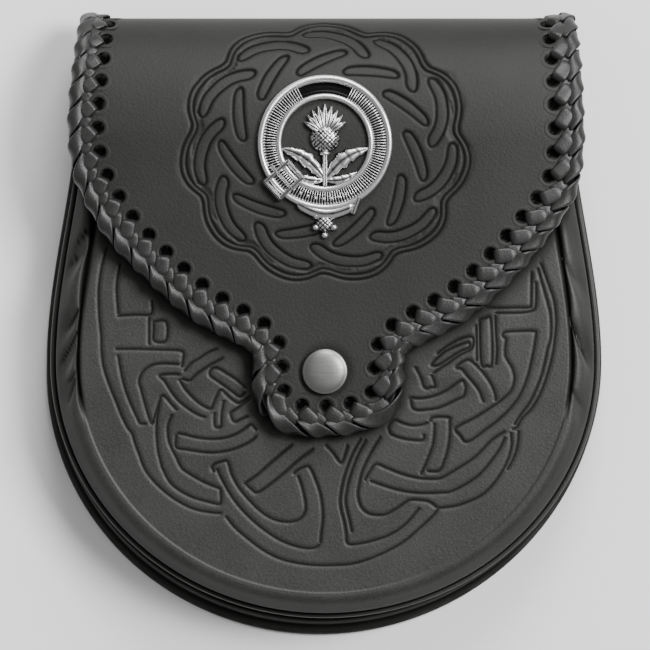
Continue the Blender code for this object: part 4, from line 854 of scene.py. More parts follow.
def gussetBand():
    # A wall between the lip and the back: its upper edge is turned out under the lip, and at its foot a
    # round welt and a flat edge lie on the back panel. Its section is carried along the lip's outline.
    angles, rises = np.radians(np.linspace(0.0, 90.0, 90)), np.linspace(0.0, 1.0, 40)[1:]
    right = bodyOutline(1.0, angles, rises)
    lip = np.concatenate([right[::-1] * [-1.0, 1.0], right[1:]])
    top = body["lipZ"] - body["thick"] - body["gap"] - gussetThick
    outer = []
    for inset, spread, level, lift in gussetSection:
        line = lip + outwards(lip) * (backSpread(lip) * spread - inset)[:, None]
        low = backZ(line[:, 1]) + fold["thick"] + body["gap"] + gussetThick
        outer.append(np.column_stack([line, low + level * (top - low) + lift]))
    outer = np.array(outer)
    normal = unit(np.cross(np.gradient(outer, axis=1), np.gradient(outer, axis=0)))
    inner = outer - normal * np.sign(normal[-1:, :, 2:]) * gussetThick
    inner[..., 2] = np.maximum(inner[..., 2], backZ(inner[..., 1]) + fold["thick"] + body["gap"])
    rings = np.concatenate([outer, inner[::-1], outer[:1]])
    caps = [np.stack([outer[:, k], inner[:, k]]) for k in (0, -1)]
    dark = np.zeros(rings.shape[:2])
    dark[: len(outer)] = np.interp(np.arange(len(outer)), *gussetDark)[:, None]
    return closedPiece("gussetBand", [rings, *caps], {"dark": [dark, None, None]})


# The three strips of a stitch. from and to: where it starts beyond the hole in mm, and ends as a share
# of the inset. below, rise and dip are heights in mm. start and slant: stitches from its hole. Widths and
# thicknesses are shares of the lace's.
# hidden: the shares of a strip's length at its start and end that are painted with shade where it goes under
# others
overStrip = {"from": 1.2, "to": 0.80, "below": -1.5, "rise": 2.35, "riseBy": 0.16, "dip": 0.75,
             "dipFrom": 0.72, "wide": 0.90, "swell": 0.14, "swellBy": 0.3, "narrow": 0.30,
             "narrowFrom": 0.55, "uneven": 0.02, "hidden": (0.12, 0.16)}
tuckedStrip = {"from": 2.6, "to": 0.78, "below": -0.75, "rise": 1.20, "riseBy": 0.30, "dip": 0.30,
               "dipFrom": 0.70, "start": 0.44, "slant": 0.55, "wide": 0.80, "thick": 0.9,
               "hidden": (0.12, 0.16)}
curlStrip = {"turnFrom": 158.0, "turn": 285.0, "reachIn": 3.3, "short": 0.5, "over": 1.15, "start": 0.02,
             "slant": 1.20, "slantBy": 0.66, "wide": 1.05, "hidden": (0.14, 0.45)}


def stripSteps(steps, run):
    # shares along the strips, and their thickness: a quarter round over the run at each end
    t = np.linspace(0.0, 1.0, steps)[None, :] * np.ones((lacing["stitches"], 1))
    missing = (1.0 - np.minimum(t, 1.0 - t) / run).clip(0.0)
    return t, np.sqrt(np.clip(1.0 - missing**2, 0.12, 1.0))


def flatStrip(shape, inset, t):
    # how far beyond the edge and how high a strip is: a straight way out, an S up from the hole, and a
    # second S down under its neighbour
    travel = shape["from"] + (shape["to"] * inset - shape["from"]) * t
    rise = shape["below"] + shape["rise"] * smoothStep(t / shape["riseBy"])
    rise = rise - shape["dip"] * smoothStep((t - shape["dipFrom"]) / (1.0 - shape["dipFrom"]))
    return travel - inset, rise


def buried(rims, start, end):
    # painted shade on a strip where it starts and ends under others, by an S over a share of its length
    way = np.linspace(0.0, 1.0, rims[0].shape[0])[:, None] * np.ones(rims[0].shape[1])
    deep = np.maximum(smoothStep((start - way) / start), smoothStep((way - 1.0 + end) / end))
    return [0.9 * deep] * len(rims)


def laceStrips():
    # Each stitch has three strips: one from its hole slanting out over the leather, one tucked
    # beside it, and one that curls over the edge and goes back underneath to the next hole.
    count = lacing["stitches"]
    first = np.arange(count)[:, None] + 0.5
    half, thick = lacing["laceWidth"] / 2.0, lacing["laceThick"] / 2.0
    inset = np.interp(first, laceTurn, laceLine[:, 2])
    strips, rims, hidden = [], [], []

    def lay(stitch, beyond, rise, wide, high, ends, turned=math.pi / 2.0):
        # turned is the strip's turn about the edge, a quarter turn where it lies flat on the leather
        point, normal, out = lacePoint(stitch, beyond)
        up = unit(normal * np.sin(turned)[..., None] + out * np.cos(turned)[..., None] * 0.9)
        made, edge = ribbons(point + normal * rise[..., None], up, wide, high)
        strips.extend(made)
        rims.extend(edge)
        hidden.extend(buried(edge, *ends))

    t, ends = stripSteps(16, 0.10)
    over, tucked, curl = overStrip, tuckedStrip, curlStrip
    swell = over["swell"] * smoothStep(t / over["swellBy"])
    narrow = over["narrow"] * smoothStep((t - over["narrowFrom"]) / (1.0 - over["narrowFrom"]))
    uneven = over["uneven"] * np.sin(np.arange(count) * 2.4)[:, None]
    slant = lacing["slantLeft"] + (lacing["slantRight"] - lacing["slantLeft"]) * first / count
    wide = half * (over["wide"] + swell - narrow + uneven)
    lay(first + slant * t, *flatStrip(over, inset, t), wide, thick * ends, over["hidden"])
    wide = half * tucked["wide"] * (0.7 + 0.3 * ends)
    stitch = first + tucked["start"] + tucked["slant"] * t
    lay(stitch, *flatStrip(tucked, inset, t), wide, thick * tucked["thick"] * ends, tucked["hidden"])

    # the curl goes round the edge on an arc that reaches further in than out
    t, ends = stripSteps(26, 0.08)
    angle = np.radians(curl["turnFrom"] - curl["turn"] * smoothStep(t) ** 0.9)
    reachOut = lacing["overhang"] - curl["short"]
    beyond = np.where(np.cos(angle) > 0.0, reachOut, curl["reachIn"]) * np.cos(angle)
    rise = -fold["thick"] / 2.0 + (fold["thick"] / 2.0 + curl["over"]) * np.sin(angle)
    stitch = first + curl["start"] + curl["slant"] * smoothStep(t / curl["slantBy"]) ** 0.85
    wide = half * curl["wide"] * (0.7 + 0.3 * ends)
    lay(stitch, beyond, rise, wide, thick * ends, curl["hidden"], angle)
    # the dark mark is painted shade where strips go under others
    return closedPiece("laceStrips", strips, {"wearAndHighlight": rims, "dark": hidden})


holeProfile = [
    (0.0, -1.6), (1.2, -1.62), (1.8, -1.5), (2.0, -1.0), (2.1, -0.5), (2.18, -0.25), (2.3, -0.1),
    (2.5, -0.02), (2.8, 0.02), (3.2, 0.02), (3.6, 0.0), (3.7, -0.03), (3.75, -0.1), (3.4, -0.5),
    (2.6, -1.9), (0.0, -2.1),
]


def holeLips():
    # a punched hole's soft edge and a floor painted dark as shade: radius and height turned about the
    # leather's normal
    profile = np.array(holeProfile)
    turn = np.linspace(0.0, 2.0 * math.pi, 25)
    normal = sheetNormal(holes[:, 0], holes[:, 1])
    across = unit(np.cross(normal, [0.0, 1.0, 0.0]))
    along = np.cross(normal, across)
    around = np.cos(turn)[:, None] * across[:, None] + np.sin(turn)[:, None] * along[:, None]
    points = sheetPoint(holes[:, 0], holes[:, 1])[:, None, None] + profile[:, :1, None] * around[:, None]
    points = points + profile[:, 1:, None] * normal[:, None, None]
    # painted shade, darker the deeper into the hole
    dark = smoothStep((-0.04 - profile[:, 1:]) / 0.5) * np.ones(len(turn))
    return closedPiece("holeLips", list(points), {"dark": [dark] * len(holes)})


badge = {"y": 59.0, "bars": 132, "gap": 0.3, "band": (16.0, 20.0), "bar": 0.55, "panel": 27.0,
         "panelDepth": 0.35}


def onFlap(x, y, height):
    # a point of the flat badge laid on the flap's round
    down = float(downAt(badge["y"])) - y
    return sheetPoint(x, down) + sheetNormal(x, down) * (height + badge["gap"])[..., None]


def badgeRing():
    # The strap of the badge: two round rims turned about its middle, and between them fine bars, a power
    # of a cosine of the turn, that stop at a sunk panel at the top.
    profile = np.array([
        (22.1, 0.0), (22.1, 1.5), (21.9, 1.95), (21.5, 2.2), (21.0, 2.28), (20.5, 2.15), (20.15, 1.8),
        (20.0, 1.25), (19.7, 1.2), (18.6, 1.2), (17.4, 1.2), (16.3, 1.2), (16.05, 1.25), (15.9, 1.65),
        (15.5, 1.95), (15.0, 2.0), (14.5, 1.85), (14.2, 1.5), (14.1, 1.1), (14.1, 0.0), (18.0, 0.0),
        (22.1, 0.0),
    ])
    turn = np.linspace(0.0, 2.0 * math.pi, badge["bars"] * 6 + 1)
    radius, height = profile[:, :1] * np.ones(len(turn)), profile[:, 1:] * np.ones(len(turn))
    bar = (0.5 + 0.5 * np.cos(turn * badge["bars"])) ** 1.3
    low, high = badge["band"]
    onBand = smoothStep((high - radius) / 0.3) * smoothStep((radius - low) / 0.3) * (height > 0.5)
    fromTop = np.degrees(np.abs(np.angle(np.exp(1j * (turn - math.pi / 2.0)))))
    panel = smoothStep((badge["panel"] - fromTop) / 1.2)[None, :] * onBand
    height = height + onBand * (badge["bar"] * bar[None, :] * (1.0 - panel) - badge["panelDepth"] * panel)
    recess = onBand * (1.0 - bar[None, :] * (1.0 - panel))
    grid = onFlap(radius * np.cos(turn), radius * np.sin(turn), height)
    return [grid], [recess]


def castLeaf(root, tip, halfWide, height, low=0.5, bend=0.0, teeth=0, rib=0.25):
    # A leaf, petal or stalk in relief: across it the top is a low arch with a groove down the middle,
    # along it the width is a share of halfWide, toothed if wanted. Its underside is flat.
    root, tip = np.array(root, float), np.array(tip, float)
    t = np.linspace(0.0, 1.0, 8 * max(teeth, 3) + 1)
    v = np.linspace(-1.0, 1.0, 9)
    wide = halfWide * np.interp(t, *shapeOfLeaf) if teeth >= 0 else halfWide * np.ones_like(t)
    if teeth > 0:
        wide = wide * (0.72 + 0.28 * (1.0 - np.mod(t * teeth, 1.0)))
    wide = wide * (0.15 + 0.85 * smoothStep(t / 0.05) * smoothStep((1.0 - t) / 0.05))
    way = tip - root
    across = np.array([-way[1], way[0]]) / np.linalg.norm(way)
    mid = root + way * t[:, None] + across * (bend * np.sin(math.pi * t))[:, None]
    flat = mid[:, None] + across * (wide[:, None] * v)[..., None]
    arch = np.sqrt(1.0 - 0.98 * v**2) - rib * np.exp(-((v / 0.22) ** 2))
    high = low + (height - low) * arch[None] * (0.45 + 0.55 * smoothStep(wide / wide.max())[:, None])
    upper = onFlap(flat[..., 0], flat[..., 1], high)
    lower = onFlap(flat[..., 0], flat[..., 1], np.full(high.shape, 0.05))
    wallA = np.stack([upper[:, 0], lower[:, 0]])
    wallB = np.stack([upper[:, -1], lower[:, -1]])
    endA = np.stack([upper[0], lower[0]])
    endB = np.stack([upper[-1], lower[-1]])
    recess = np.broadcast_to(0.75 * np.exp(-((v / 0.3) ** 2)) + v**8, high.shape)
    return [upper, lower, wallA, wallB, endA, endB], [recess, None, None, None, None, None]


shapeOfLeaf = ([0.0, 0.15, 0.45, 0.75, 0.95, 1.0], [0.35, 0.7, 1.0, 0.72, 0.25, 0.1])


def castDome(centre, radii, height, cells=0, low=0.3):
    # a rounded boss; its surface may be cut in slanting cells
    turn = np.linspace(0.0, 2.0 * math.pi, 49)
    share = np.linspace(0.0, 1.0, 13)[:, None]
    x = centre[0] + radii[0] * share * np.cos(turn)
    y = centre[1] + radii[1] * share * np.sin(turn)
    high = low + (height - low) * np.sqrt(1.0 - 0.995 * share**2) * np.ones_like(x)
    cut = np.zeros_like(x)
    if cells:
        a = (x - centre[0]) / radii[0] * cells
        b = (y - centre[1]) / radii[1] * cells
        slants = [np.abs(np.cos(math.pi * way / 2.0)) ** 8 for way in (a + b, a - b)]
        cut = np.maximum(*slants)
        high = high - 0.28 * cut * np.sqrt(1.0 - 0.98 * share**2)
    upper = onFlap(x, y, high)
    lower = onFlap(x, y, np.full(x.shape, 0.05))
    side = np.stack([upper[-1], lower[-1]])
    return [upper, lower, side], [cut, None, None]


def badgePiece():
    # the strap with its bars, and leaves, domes and straight bars laid on it and within it
    grids, recess = badgeRing()

    def add(made):
        grids.extend(made[0])
        recess.extend(made[1])

    # thistle: tuft, bulb, stem and leaves
    for degrees in np.linspace(-56.0, 56.0, 9):
        across, up = math.sin(math.radians(degrees)), math.cos(math.radians(degrees))
        reach = 12.6 - 0.035 * abs(degrees)
        tip = (0.78 * reach * across, 1.5 + 0.90 * reach * up)
        add(castLeaf((1.6 * across, 3.6), tip, 1.25, 2.5, teeth=0))
    add(castDome((0.0, 1.6), (5.0, 4.7), 3.0, cells=7))
    add(castDome((0.0, -3.4), (1.9, 1.0), 2.1))
    add(castLeaf((0.0, -15.0), (0.0, -2.4), 0.95, 2.0, teeth=-1))
    for side in (-1.0, 1.0):
        add(castLeaf((side * 0.4, -11.4), (side * 14.6, -1.6), 3.1, 2.0, bend=side * 1.8, teeth=5))
        add(castLeaf((side * 0.4, -12.2), (side * 10.8, -9.4), 2.0, 1.8, bend=-side * 1.2, teeth=4))
    # buckle on the lower left and the strap's end along the foot
    seat = math.radians(222.0)
    out = np.array([math.cos(seat), math.sin(seat)])
    mid = out * 18.1
    along = np.array([-out[1], out[0]])
    for a in (-3.6, 3.6):
        add(castLeaf(mid + along * a - out * 5.9, mid + along * a + out * 5.9, 1.05, 3.5, teeth=-1, rib=0.0))
    for b in (-5.0, 5.0):
        add(castLeaf(mid + out * b - along * 4.4, mid + out * b + along * 4.4, 1.05, 3.5, teeth=-1, rib=0.0))
    add(castLeaf(mid - along * 6.4, mid + along * 4.2, 0.8, 3.9, teeth=-1, rib=0.0))
    for angle in np.linspace(236.0, 292.0, 8):
        spot = np.array([math.cos(math.radians(angle)), math.sin(math.radians(angle))]) * 18.2
        add(castDome(spot, (0.75, 0.75), 2.1))
    add(castLeaf((-9.5, -19.3), (9.5, -20.6), 2.1, 2.3, bend=-3.2, teeth=-1, rib=0.1))
    add(castLeaf((9.0, -23.4), (11.2, -17.4), 1.1, 2.7, teeth=-1, rib=0.0))
    # small drop under the ring
    add(castDome((0.0, -26.2), (3.1, 3.0), 2.6, cells=4))
    for x, y in ((-2.9, -23.8), (2.9, -23.8), (-3.0, -27.6), (3.0, -27.6), (0.0, -30.2)):
        add(castDome((x, y), (1.35, 1.2), 2.1))
    add(castLeaf((0.0, -21.4), (0.0, -24.6), 1.6, 2.2, teeth=-1, rib=0.3))
    return closedPiece("castBadge", grids, {"deep": recess})


def snapPieces():
    # the pressed cap with a rolled rim, its post and socket, turned about its axis
    top = float(sheetPoint(0.0, downAt(snap["y"]))[2])
    under = -fold["thick"] - body["gap"] - 0.2
    foot = float(faceZ(0.0, snap["y"])) + 1.2 - top
    profile = np.array([
        (0.0, 3.25), (2.2, 3.22), (4.2, 3.08), (5.6, 2.82), (6.4, 2.5), (6.75, 2.3), (7.0, 2.25),
        (7.25, 2.15), (7.45, 1.8), (snap["radius"], 1.3), (7.5, 0.7), (7.3, 0.35), (6.9, 0.3), (1.9, 0.3),
        (1.9, under), (5.2, under), (5.2, under - 0.6), (4.2, under - 0.6), (4.2, foot), (3.0, foot),
        (3.0, under - 0.6), (0.0, under - 0.6),
    ])
    turn = np.linspace(0.0, 2.0 * math.pi, 97)
    place = np.array([0.0, snap["y"], top])
    around = np.stack([np.cos(turn), np.sin(turn), np.zeros_like(turn)], axis=-1)
    grid = place + profile[:, :1, None] * around[None] + profile[:, 1:, None] * np.array([0.0, 0.0, 1.0])
    return closedPiece("snapCap", [grid], {"deep": [np.zeros(grid.shape[:2])]})


loops = {"x": 42.0, "width": 22.0, "topY": 89.0, "length": 52.0, "tab": 7.0, "ramp": 3.0, "thick": 2.0}


def beltLoop(name, x):
    # a strap whose section is a flat round-edged bar, laid along its path: against the back where it is
    # sewn at both ends, and flat on the ground between them
    half = loops["thick"] / 2.0
    low, ramp = loops["topY"] - loops["length"], loops["tab"] + loops["ramp"]
    sewn = np.array([0.0, 0.5, 1.0]) * loops["tab"]
    free = [low + ramp, low + loops["length"] / 2.0, loops["topY"] - ramp]
    y = np.concatenate([low + sewn, free, loops["topY"] - sewn[::-1]])
    z = backZ(y) - body["gap"] - half
    z[3:6] = half
    line = evenly(np.column_stack([y, z]), 90)
    centre = np.column_stack([np.full(len(line), x), line])[None]
    up = np.broadcast_to([0.0, 0.0, 1.0], centre.shape)
    wide = np.full(centre.shape[:2], loops["width"] / 2.0)
    grids, rims = ribbons(centre, up, wide, np.full(centre.shape[:2], half), corners=24, flatness=0.16)
    return closedPiece(name, grids, {"wearAndHighlight": rims})


thread = {"rows": (1.8, 5.2), "stitches": 7, "apart": 2.9, "half": 1.15, "dip": 0.22, "proud": 0.1,
          "radius": 0.36}


def loopThread():
    # two rows of short stitches across each sewn end of both loops, each a parabola that dips out of
    # the strap, on the side that shows
    low = loops["topY"] - loops["length"]
    spots = (np.arange(thread["stitches"]) - thread["stitches"] // 2) * thread["apart"]
    span = np.linspace(-thread["half"], thread["half"], 7)
    dip = thread["dip"] * (1.0 - (span / thread["half"]) ** 2)
    centres = []
    for x in (-loops["x"], loops["x"]):
        for y in [low + row for row in thread["rows"]] + [loops["topY"] - row for row in thread["rows"]]:
            across = x + spots[:, None] + span
            z = float(backZ(y)) - body["gap"] - loops["thick"] - dip + thread["proud"]
            centres.append(np.stack([across, np.full(across.shape, y), z + np.zeros(across.shape)], axis=-1))
    centre = np.concatenate(centres)
    up = np.broadcast_to([0.0, 0.0, -1.0], centre.shape)
    size = np.full(centre.shape[:2], thread["radius"])
    grids, rims = ribbons(centre, up, size, size * 0.8, corners=8, flatness=1.0)
    return closedPiece("loopThread", grids, {"wearAndHighlight": rims})


# Materials

def newGroup(name, outputs, inputs=()):
    # a group of shader nodes with named values in and out
    group = bpy.data.node_groups.new(name, "ShaderNodeTree")
    for label in outputs:
        group.interface.new_socket(label, in_out="OUTPUT", socket_type="NodeSocketFloat")
    for label, value in inputs:
        socket = group.interface.new_socket(label, in_out="INPUT", socket_type="NodeSocketFloat")
        socket.default_value = value
    return group, group.nodes.new("NodeGroupInput"), group.nodes.new("NodeGroupOutput")


def placeGroup(tree, group):
    # a group in a material, with its inputs still to be set
    node = tree.nodes.new("ShaderNodeGroup")
    node.node_tree = group
    return node


def attribute(tree, name):
    # a piece's own mark
    node = tree.nodes.new("ShaderNodeAttribute")
    node.attribute_name = name
    return node


def maths(tree, kind, a, b=None):
    # one sum; each of its values is a number or another node's output
    node = tree.nodes.new("ShaderNodeMath")
    node.operation = kind
    for slot, value in zip(node.inputs, (a, b)):
        if value is None:
            continue
        if isinstance(value, (int, float)):
            slot.default_value = value
        else:
            tree.links.new(value, slot)
    return node.outputs[0]


def ramp(tree, value, stops):
    # a colour for each value, straight between the stops
    node = tree.nodes.new("ShaderNodeValToRGB")
    tree.links.new(value, node.inputs[0])
    for element, (place, colour) in zip(node.color_ramp.elements, stops):
        element.position = place
        element.color = (*colour, 1.0)
    return node.outputs[0]


def mixTo(tree, share, before, after):
    # one colour into another by a share that changes over the surface
    node = tree.nodes.new("ShaderNodeMix")
    node.data_type = "RGBA"
    tree.links.new(share, node.inputs["Factor"])
    tree.links.new(before, node.inputs["A"])
    node.inputs["B"].default_value = (*after, 1.0)
    return node.outputs["Result"]


def bump(tree, height, distance, strength, before=None):
    # a height into a normal, on top of another bump if there is one; the distance is in mm
    node = tree.nodes.new("ShaderNodeBump")
    node.inputs["Distance"].default_value = distance * mm
    node.inputs["Strength"].default_value = strength
    tree.links.new(height, node.inputs["Height"])
    if before is not None:
        tree.links.new(before, node.inputs["Normal"])
    return node.outputs[0]


def toolLines(tree, layers):
    # the tooled lines: each layer's distance becomes a narrow bell, and the deepest one counts
    pressed = 0.0
    for k in range(layers):
        parts = tree.nodes.new("ShaderNodeSeparateXYZ")
        tree.links.new(attribute(tree, f"tool{k}").outputs["Vector"], parts.inputs[0])
        square = maths(tree, "MULTIPLY", parts.outputs[0], parts.outputs[0])
        bell = maths(tree, "EXPONENT", maths(tree, "MULTIPLY", square, -1.0 / leatherLook["line"] ** 2))
        pressed = maths(tree, "MAXIMUM", maths(tree, "MULTIPLY", bell, parts.outputs[1]), pressed)
    return pressed


def toolGroup(layers):
    # those lines as a group
    group, _, out = newGroup(f"tooledLines{layers}", ["Pressed"])
    group.links.new(toolLines(group, layers), out.inputs["Pressed"])
    return group


def grainGroup():
    # leather grain: small cells with soft creases over slow mottling, in millimetres of the object
    group, inp, out = newGroup("leatherGrain", ["Height", "Tone", "Slow"], [("Cell Size", 0.9)])
    place = group.nodes.new("ShaderNodeTexCoord")
    scale = maths(group, "DIVIDE", 1000.0, inp.outputs["Cell Size"])
    cells = group.nodes.new("ShaderNodeTexVoronoi")
    cells.feature = "SMOOTH_F1"
    noise = group.nodes.new("ShaderNodeTexNoise")
    noise.inputs["Detail"].default_value = 4.0
    slow = group.nodes.new("ShaderNodeTexNoise")
    slow.inputs["Scale"].default_value = 55.0
    slow.inputs["Detail"].default_value = 3.0
    for node in (cells, noise, slow):
        group.links.new(place.outputs["Object"], node.inputs["Vector"])
    group.links.new(scale, cells.inputs["Scale"])
    group.links.new(maths(group, "MULTIPLY", scale, 1.7), noise.inputs["Scale"])
    creases = maths(group, "MULTIPLY", cells.outputs["Distance"], 0.7)
    height = maths(group, "ADD", creases, maths(group, "MULTIPLY", noise.outputs["Fac"], 0.9))
    group.links.new(height, out.inputs["Height"])
    group.links.new(noise.outputs["Fac"], out.inputs["Tone"])
    group.links.new(slow.outputs["Fac"], out.inputs["Slow"])
    return group


def wearAndShadeGroup():
    # rubbed edges, lighter as wear and as a painted highlight, and painted shade from the dark mark or a
    # tooled line
    group, inp, out = newGroup("leatherWearAndShade", ["Rubbed", "Shade"], [("Rub", 0.55), ("Pressed", 0.0)])
    wearAndHighlight, dark = attribute(group, "wearAndHighlight"), attribute(group, "dark")
    rubbedAndHighlit = maths(group, "MULTIPLY", wearAndHighlight.outputs["Fac"], inp.outputs["Rub"])
    # tooled lines take painted shade, a share of how deep they are
    line = maths(group, "MULTIPLY", inp.outputs["Pressed"], 0.7)
    group.links.new(rubbedAndHighlit, out.inputs["Rubbed"])
    group.links.new(maths(group, "MAXIMUM", dark.outputs["Fac"], line), out.inputs["Shade"])
    return group


def metalGroup():
    # fine marks, drawn out across by one over Along, and how black a place is: by its hollowness or its
    # own mark, with some of the marks added
    inputs = [("Pointiness", 0.5), ("Along", 1.0)]
    group, inp, out = newGroup("metalWear", ["Black", "Marks"], inputs)
    place = group.nodes.new("ShaderNodeTexCoord")
    scale = group.nodes.new("ShaderNodeCombineXYZ")
    scale.inputs[1].default_value = 1.0
    scale.inputs[2].default_value = 1.0
    stretch = group.nodes.new("ShaderNodeVectorMath")
    stretch.operation = "MULTIPLY"
    noise = group.nodes.new("ShaderNodeTexNoise")
    noise.inputs["Scale"].default_value = 900.0
    noise.inputs["Detail"].default_value = 5.0
    group.links.new(inp.outputs["Along"], scale.inputs[0])
    group.links.new(place.outputs["Object"], stretch.inputs[0])
    group.links.new(scale.outputs[0], stretch.inputs[1])
    group.links.new(stretch.outputs[0], noise.inputs["Vector"])
    hollow = maths(group, "MULTIPLY", maths(group, "SUBTRACT", 0.495, inp.outputs["Pointiness"]), 12.0)
    hollow = maths(group, "MAXIMUM", hollow, attribute(group, "deep").outputs["Fac"])
    speckle = maths(group, "MULTIPLY", maths(group, "SUBTRACT", noise.outputs["Fac"], 0.5), 0.45)
    group.links.new(maths(group, "MINIMUM", maths(group, "ADD", hollow, speckle), 1.0), out.inputs["Black"])
    group.links.new(noise.outputs["Fac"], out.inputs["Marks"])
    return group


leatherLook = {
    "dark": (0.0122, 0.0124, 0.0108),
    "light": (0.0265, 0.0268, 0.0240),
    "wearAndHighlight": (0.040, 0.0405, 0.037),
    "rough": 0.50,
    "sheen": 0.42,
    "line": 0.38,
    "cell": 0.9,
    "grainDepth": 0.08,
}
flapLook = {**leatherLook, "dark": (0.0065, 0.0065, 0.0055), "light": (0.012, 0.0121, 0.0102),
            "wearAndHighlight": (0.03, 0.03, 0.03), "rough": 0.56, "sheen": 0.36}
laceLook = {**flapLook, "light": (0.020, 0.0205, 0.020), "rough": 0.40, "sheen": 0.42, "cell": 0.6,
            "grainDepth": 0.06}
pewterLook = {"bright": (0.62, 0.62, 0.62), "dark": (0.006, 0.006, 0.006), "rough": 0.20, "along": 1.0}
snapLook = {"bright": (0.20, 0.20, 0.197), "dark": (0.09, 0.09, 0.09), "rough": 0.32, "along": 0.12}


def newMaterial(name):
    # a material with its tree and its one shader
    made = bpy.data.materials.new(name)
    made.use_nodes = True
    return made, made.node_tree, made.node_tree.nodes["Principled BSDF"]


def leatherMaterial(name, layers=0, look=leatherLook):
    # mottled black leather: edges lighter by wear and a painted highlight, and painted shade makes dark
    # marks and tooled lines black and dull
    made, tree, shader = newMaterial(name)
    grain, wearAndDark = placeGroup(tree, leatherGrain), placeGroup(tree, leatherWearAndShade)
    grain.inputs["Cell Size"].default_value = look["cell"]
    tone = maths(tree, "MULTIPLY", grain.outputs["Tone"], 0.6)
    mixed = maths(tree, "ADD", tone, maths(tree, "MULTIPLY", grain.outputs["Slow"], 0.4))
    colour = ramp(tree, mixed, [(0.38, look["dark"]), (0.62, look["light"])])
    normal = bump(tree, grain.outputs["Height"], look["grainDepth"], 0.8)
    if layers:
        pressed = placeGroup(tree, toolGroup(layers)).outputs["Pressed"]
        tree.links.new(pressed, wearAndDark.inputs["Pressed"])
        normal = bump(tree, maths(tree, "MULTIPLY", pressed, -1.0), 0.18, 1.0, normal)
    shade = wearAndDark.outputs["Shade"]
    # edge wear, which also paints a highlight along lips and rims
    colour = mixTo(tree, wearAndDark.outputs["Rubbed"], colour, look["wearAndHighlight"])
    # painted shade: dark marks and tooled lines mixed towards black
    colour = mixTo(tree, shade, colour, (0.001, 0.001, 0.001))
    rough = maths(tree, "ADD", maths(tree, "MULTIPLY", grain.outputs["Tone"], 0.16), look["rough"] - 0.08)
    rough = maths(tree, "ADD", rough, maths(tree, "MULTIPLY", shade, 0.4))
    # the shine is worked out here and not in a group
    lines = maths(tree, "MULTIPLY", toolLines(tree, layers), 0.7)
    dull = maths(tree, "MAXIMUM", attribute(tree, "dark").outputs["Fac"], lines)
    dulled = maths(tree, "SUBTRACT", 1.0, maths(tree, "MULTIPLY", dull, 0.85))
    shine = maths(tree, "MULTIPLY", dulled, look["sheen"])
    tree.links.new(colour, shader.inputs["Base Color"])
    tree.links.new(rough, shader.inputs["Roughness"])
    tree.links.new(normal, shader.inputs["Normal"])
    tree.links.new(shine, shader.inputs["Specular IOR Level"])
    return made


def metalMaterial(name, look):
    # cast or pressed metal: bright on top, blackened in its recesses, with fine marks
    made, tree, shader = newMaterial(name)
    wearAndDark = placeGroup(tree, metalWear)
    wearAndDark.inputs["Along"].default_value = look["along"]
    tree.links.new(tree.nodes.new("ShaderNodeNewGeometry").outputs["Pointiness"], wearAndDark.inputs["Pointiness"])
    colour = ramp(tree, wearAndDark.outputs["Black"], [(0.15, look["bright"]), (0.75, look["dark"])])
    rough = maths(tree, "ADD", maths(tree, "MULTIPLY", wearAndDark.outputs["Marks"], 0.2), look["rough"])
    tree.links.new(colour, shader.inputs["Base Color"])
    tree.links.new(rough, shader.inputs["Roughness"])
    tree.links.new(bump(tree, wearAndDark.outputs["Marks"], 0.03, 0.5), shader.inputs["Normal"])
    shader.inputs["Metallic"].default_value = 1.0
    return made


def dress(obj, material, slot, *nodes):
    # gives a piece its material and its place on the body, and hides the solids it stands for; slot is not
    # used
    obj.data.materials.clear()
    obj.data.materials.append(material)
    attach(obj, "root")
    if nodes:
        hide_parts(*nodes)


leatherGrain, leatherWearAndShade, metalWear = grainGroup(), wearAndShadeGroup(), metalGroup()

flap, flapLayers = flapAndBack()
print("flap and back:", len(flap.data.polygons), "faces", flapLayers, "layers")
front, frontLayers = pouchFront()
print("front:", len(front.data.polygons), "faces", frontLayers, "layers")
dress(flap, leatherMaterial("blackLeatherFlap", flapLayers, flapLook), "leather", "back_and_flap")
dress(front, leatherMaterial("blackLeatherFront", frontLayers), "leather", "pouch_front")
plainLeather = leatherMaterial("blackLeather")
dress(gussetBand(), plainLeather, "leather", "gusset")
dress(beltLoop("beltLoopLeft", -loops["x"]), plainLeather, "leather", "belt_loop_left")
dress(beltLoop("beltLoopRight", loops["x"]), plainLeather, "leather", "belt_loop_right")
laceLeather = leatherMaterial("laceLeather", look=laceLook)
dress(laceStrips(), laceLeather, "lace", "flap_lacing")
dress(holeLips(), leatherMaterial("blackLeatherHoles", look=flapLook), "leather")
dress(loopThread(), laceLeather, "lace")
print("lacing and loops done")
snapMetal = metalMaterial("snapMetal", snapLook)
dress(badgePiece(), metalMaterial("pewter", pewterLook), "pewter", "badge")
dress(snapPieces(), snapMetal, "snap_metal", "snap_cap")
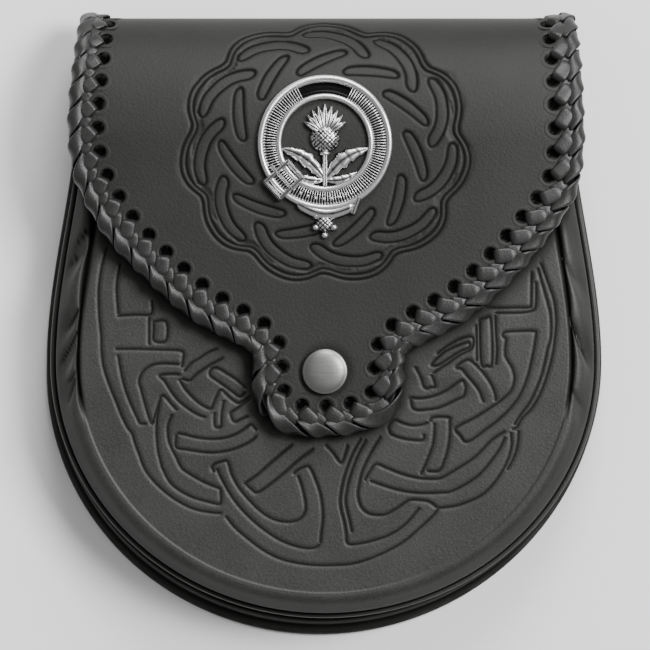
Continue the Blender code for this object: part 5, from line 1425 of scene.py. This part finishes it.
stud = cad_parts["snap_stud"]
stud.data.materials.clear()
stud.data.materials.append(snapMetal)
print("badge and snap done")

# Lengths in metres, those of the photograph's frame in mm; a lamp has a place, a width and a power
studio = {
    "floorSize": 16.0,
    "floor": 0.95,
    "world": 0.42,
    "cameraHeight": 6.0,
    "frameWidth": 212.8,
    "aimY": -0.5,
    "planeZ": 33.0,
    "lamps": {"topLight": ((0.25, 1.70, 1.35), 0.8, 36.0), "highFill": ((1.5, 0.7, 2.4), 1.0, 100.0)},
}


def stage():
    # a pale floor, a plain world, the lamps aimed at the pouch and a camera straight above it, whose
    # lens frames the photograph's width at the height of the pouch's face
    wide = studio["floorSize"]
    bpy.ops.mesh.primitive_grid_add(x_subdivisions=8, y_subdivisions=8, size=wide, location=(0, 0, 0))
    floor = bpy.context.object
    floor.name = "paleFloor"
    made, _, shader = newMaterial("paleFloor")
    shader.inputs["Base Color"].default_value = (studio["floor"], studio["floor"], studio["floor"], 1.0)
    shader.inputs["Roughness"].default_value = 0.9
    floor.data.materials.append(made)
    world = bpy.data.worlds.new("studio")
    bpy.context.scene.world = world
    world.use_nodes = True
    world.node_tree.nodes["Background"].inputs["Color"].default_value = (1.0, 1.0, 1.0, 1.0)
    world.node_tree.nodes["Background"].inputs["Strength"].default_value = studio["world"]
    for name, (place, size, power) in studio["lamps"].items():
        data = bpy.data.lights.new(name, "AREA")
        data.size = size
        data.energy = power
        lamp = bpy.data.objects.new(name, data)
        lamp.location = place
        lamp.rotation_euler = (-Vector(place)).to_track_quat("-Z", "Y").to_euler()
        bpy.context.scene.collection.objects.link(lamp)
    data = bpy.data.cameras.new("camera")
    away = studio["cameraHeight"] - studio["planeZ"] * mm
    data.sensor_width = 36.0
    data.lens = 36.0 * away / (studio["frameWidth"] * mm)
    data.clip_start = 0.05
    camera = bpy.data.objects.new("camera", data)
    camera.location = (0.0, studio["aimY"] * mm, studio["cameraHeight"])
    bpy.context.scene.collection.objects.link(camera)
    bpy.context.scene.camera = camera


stage()
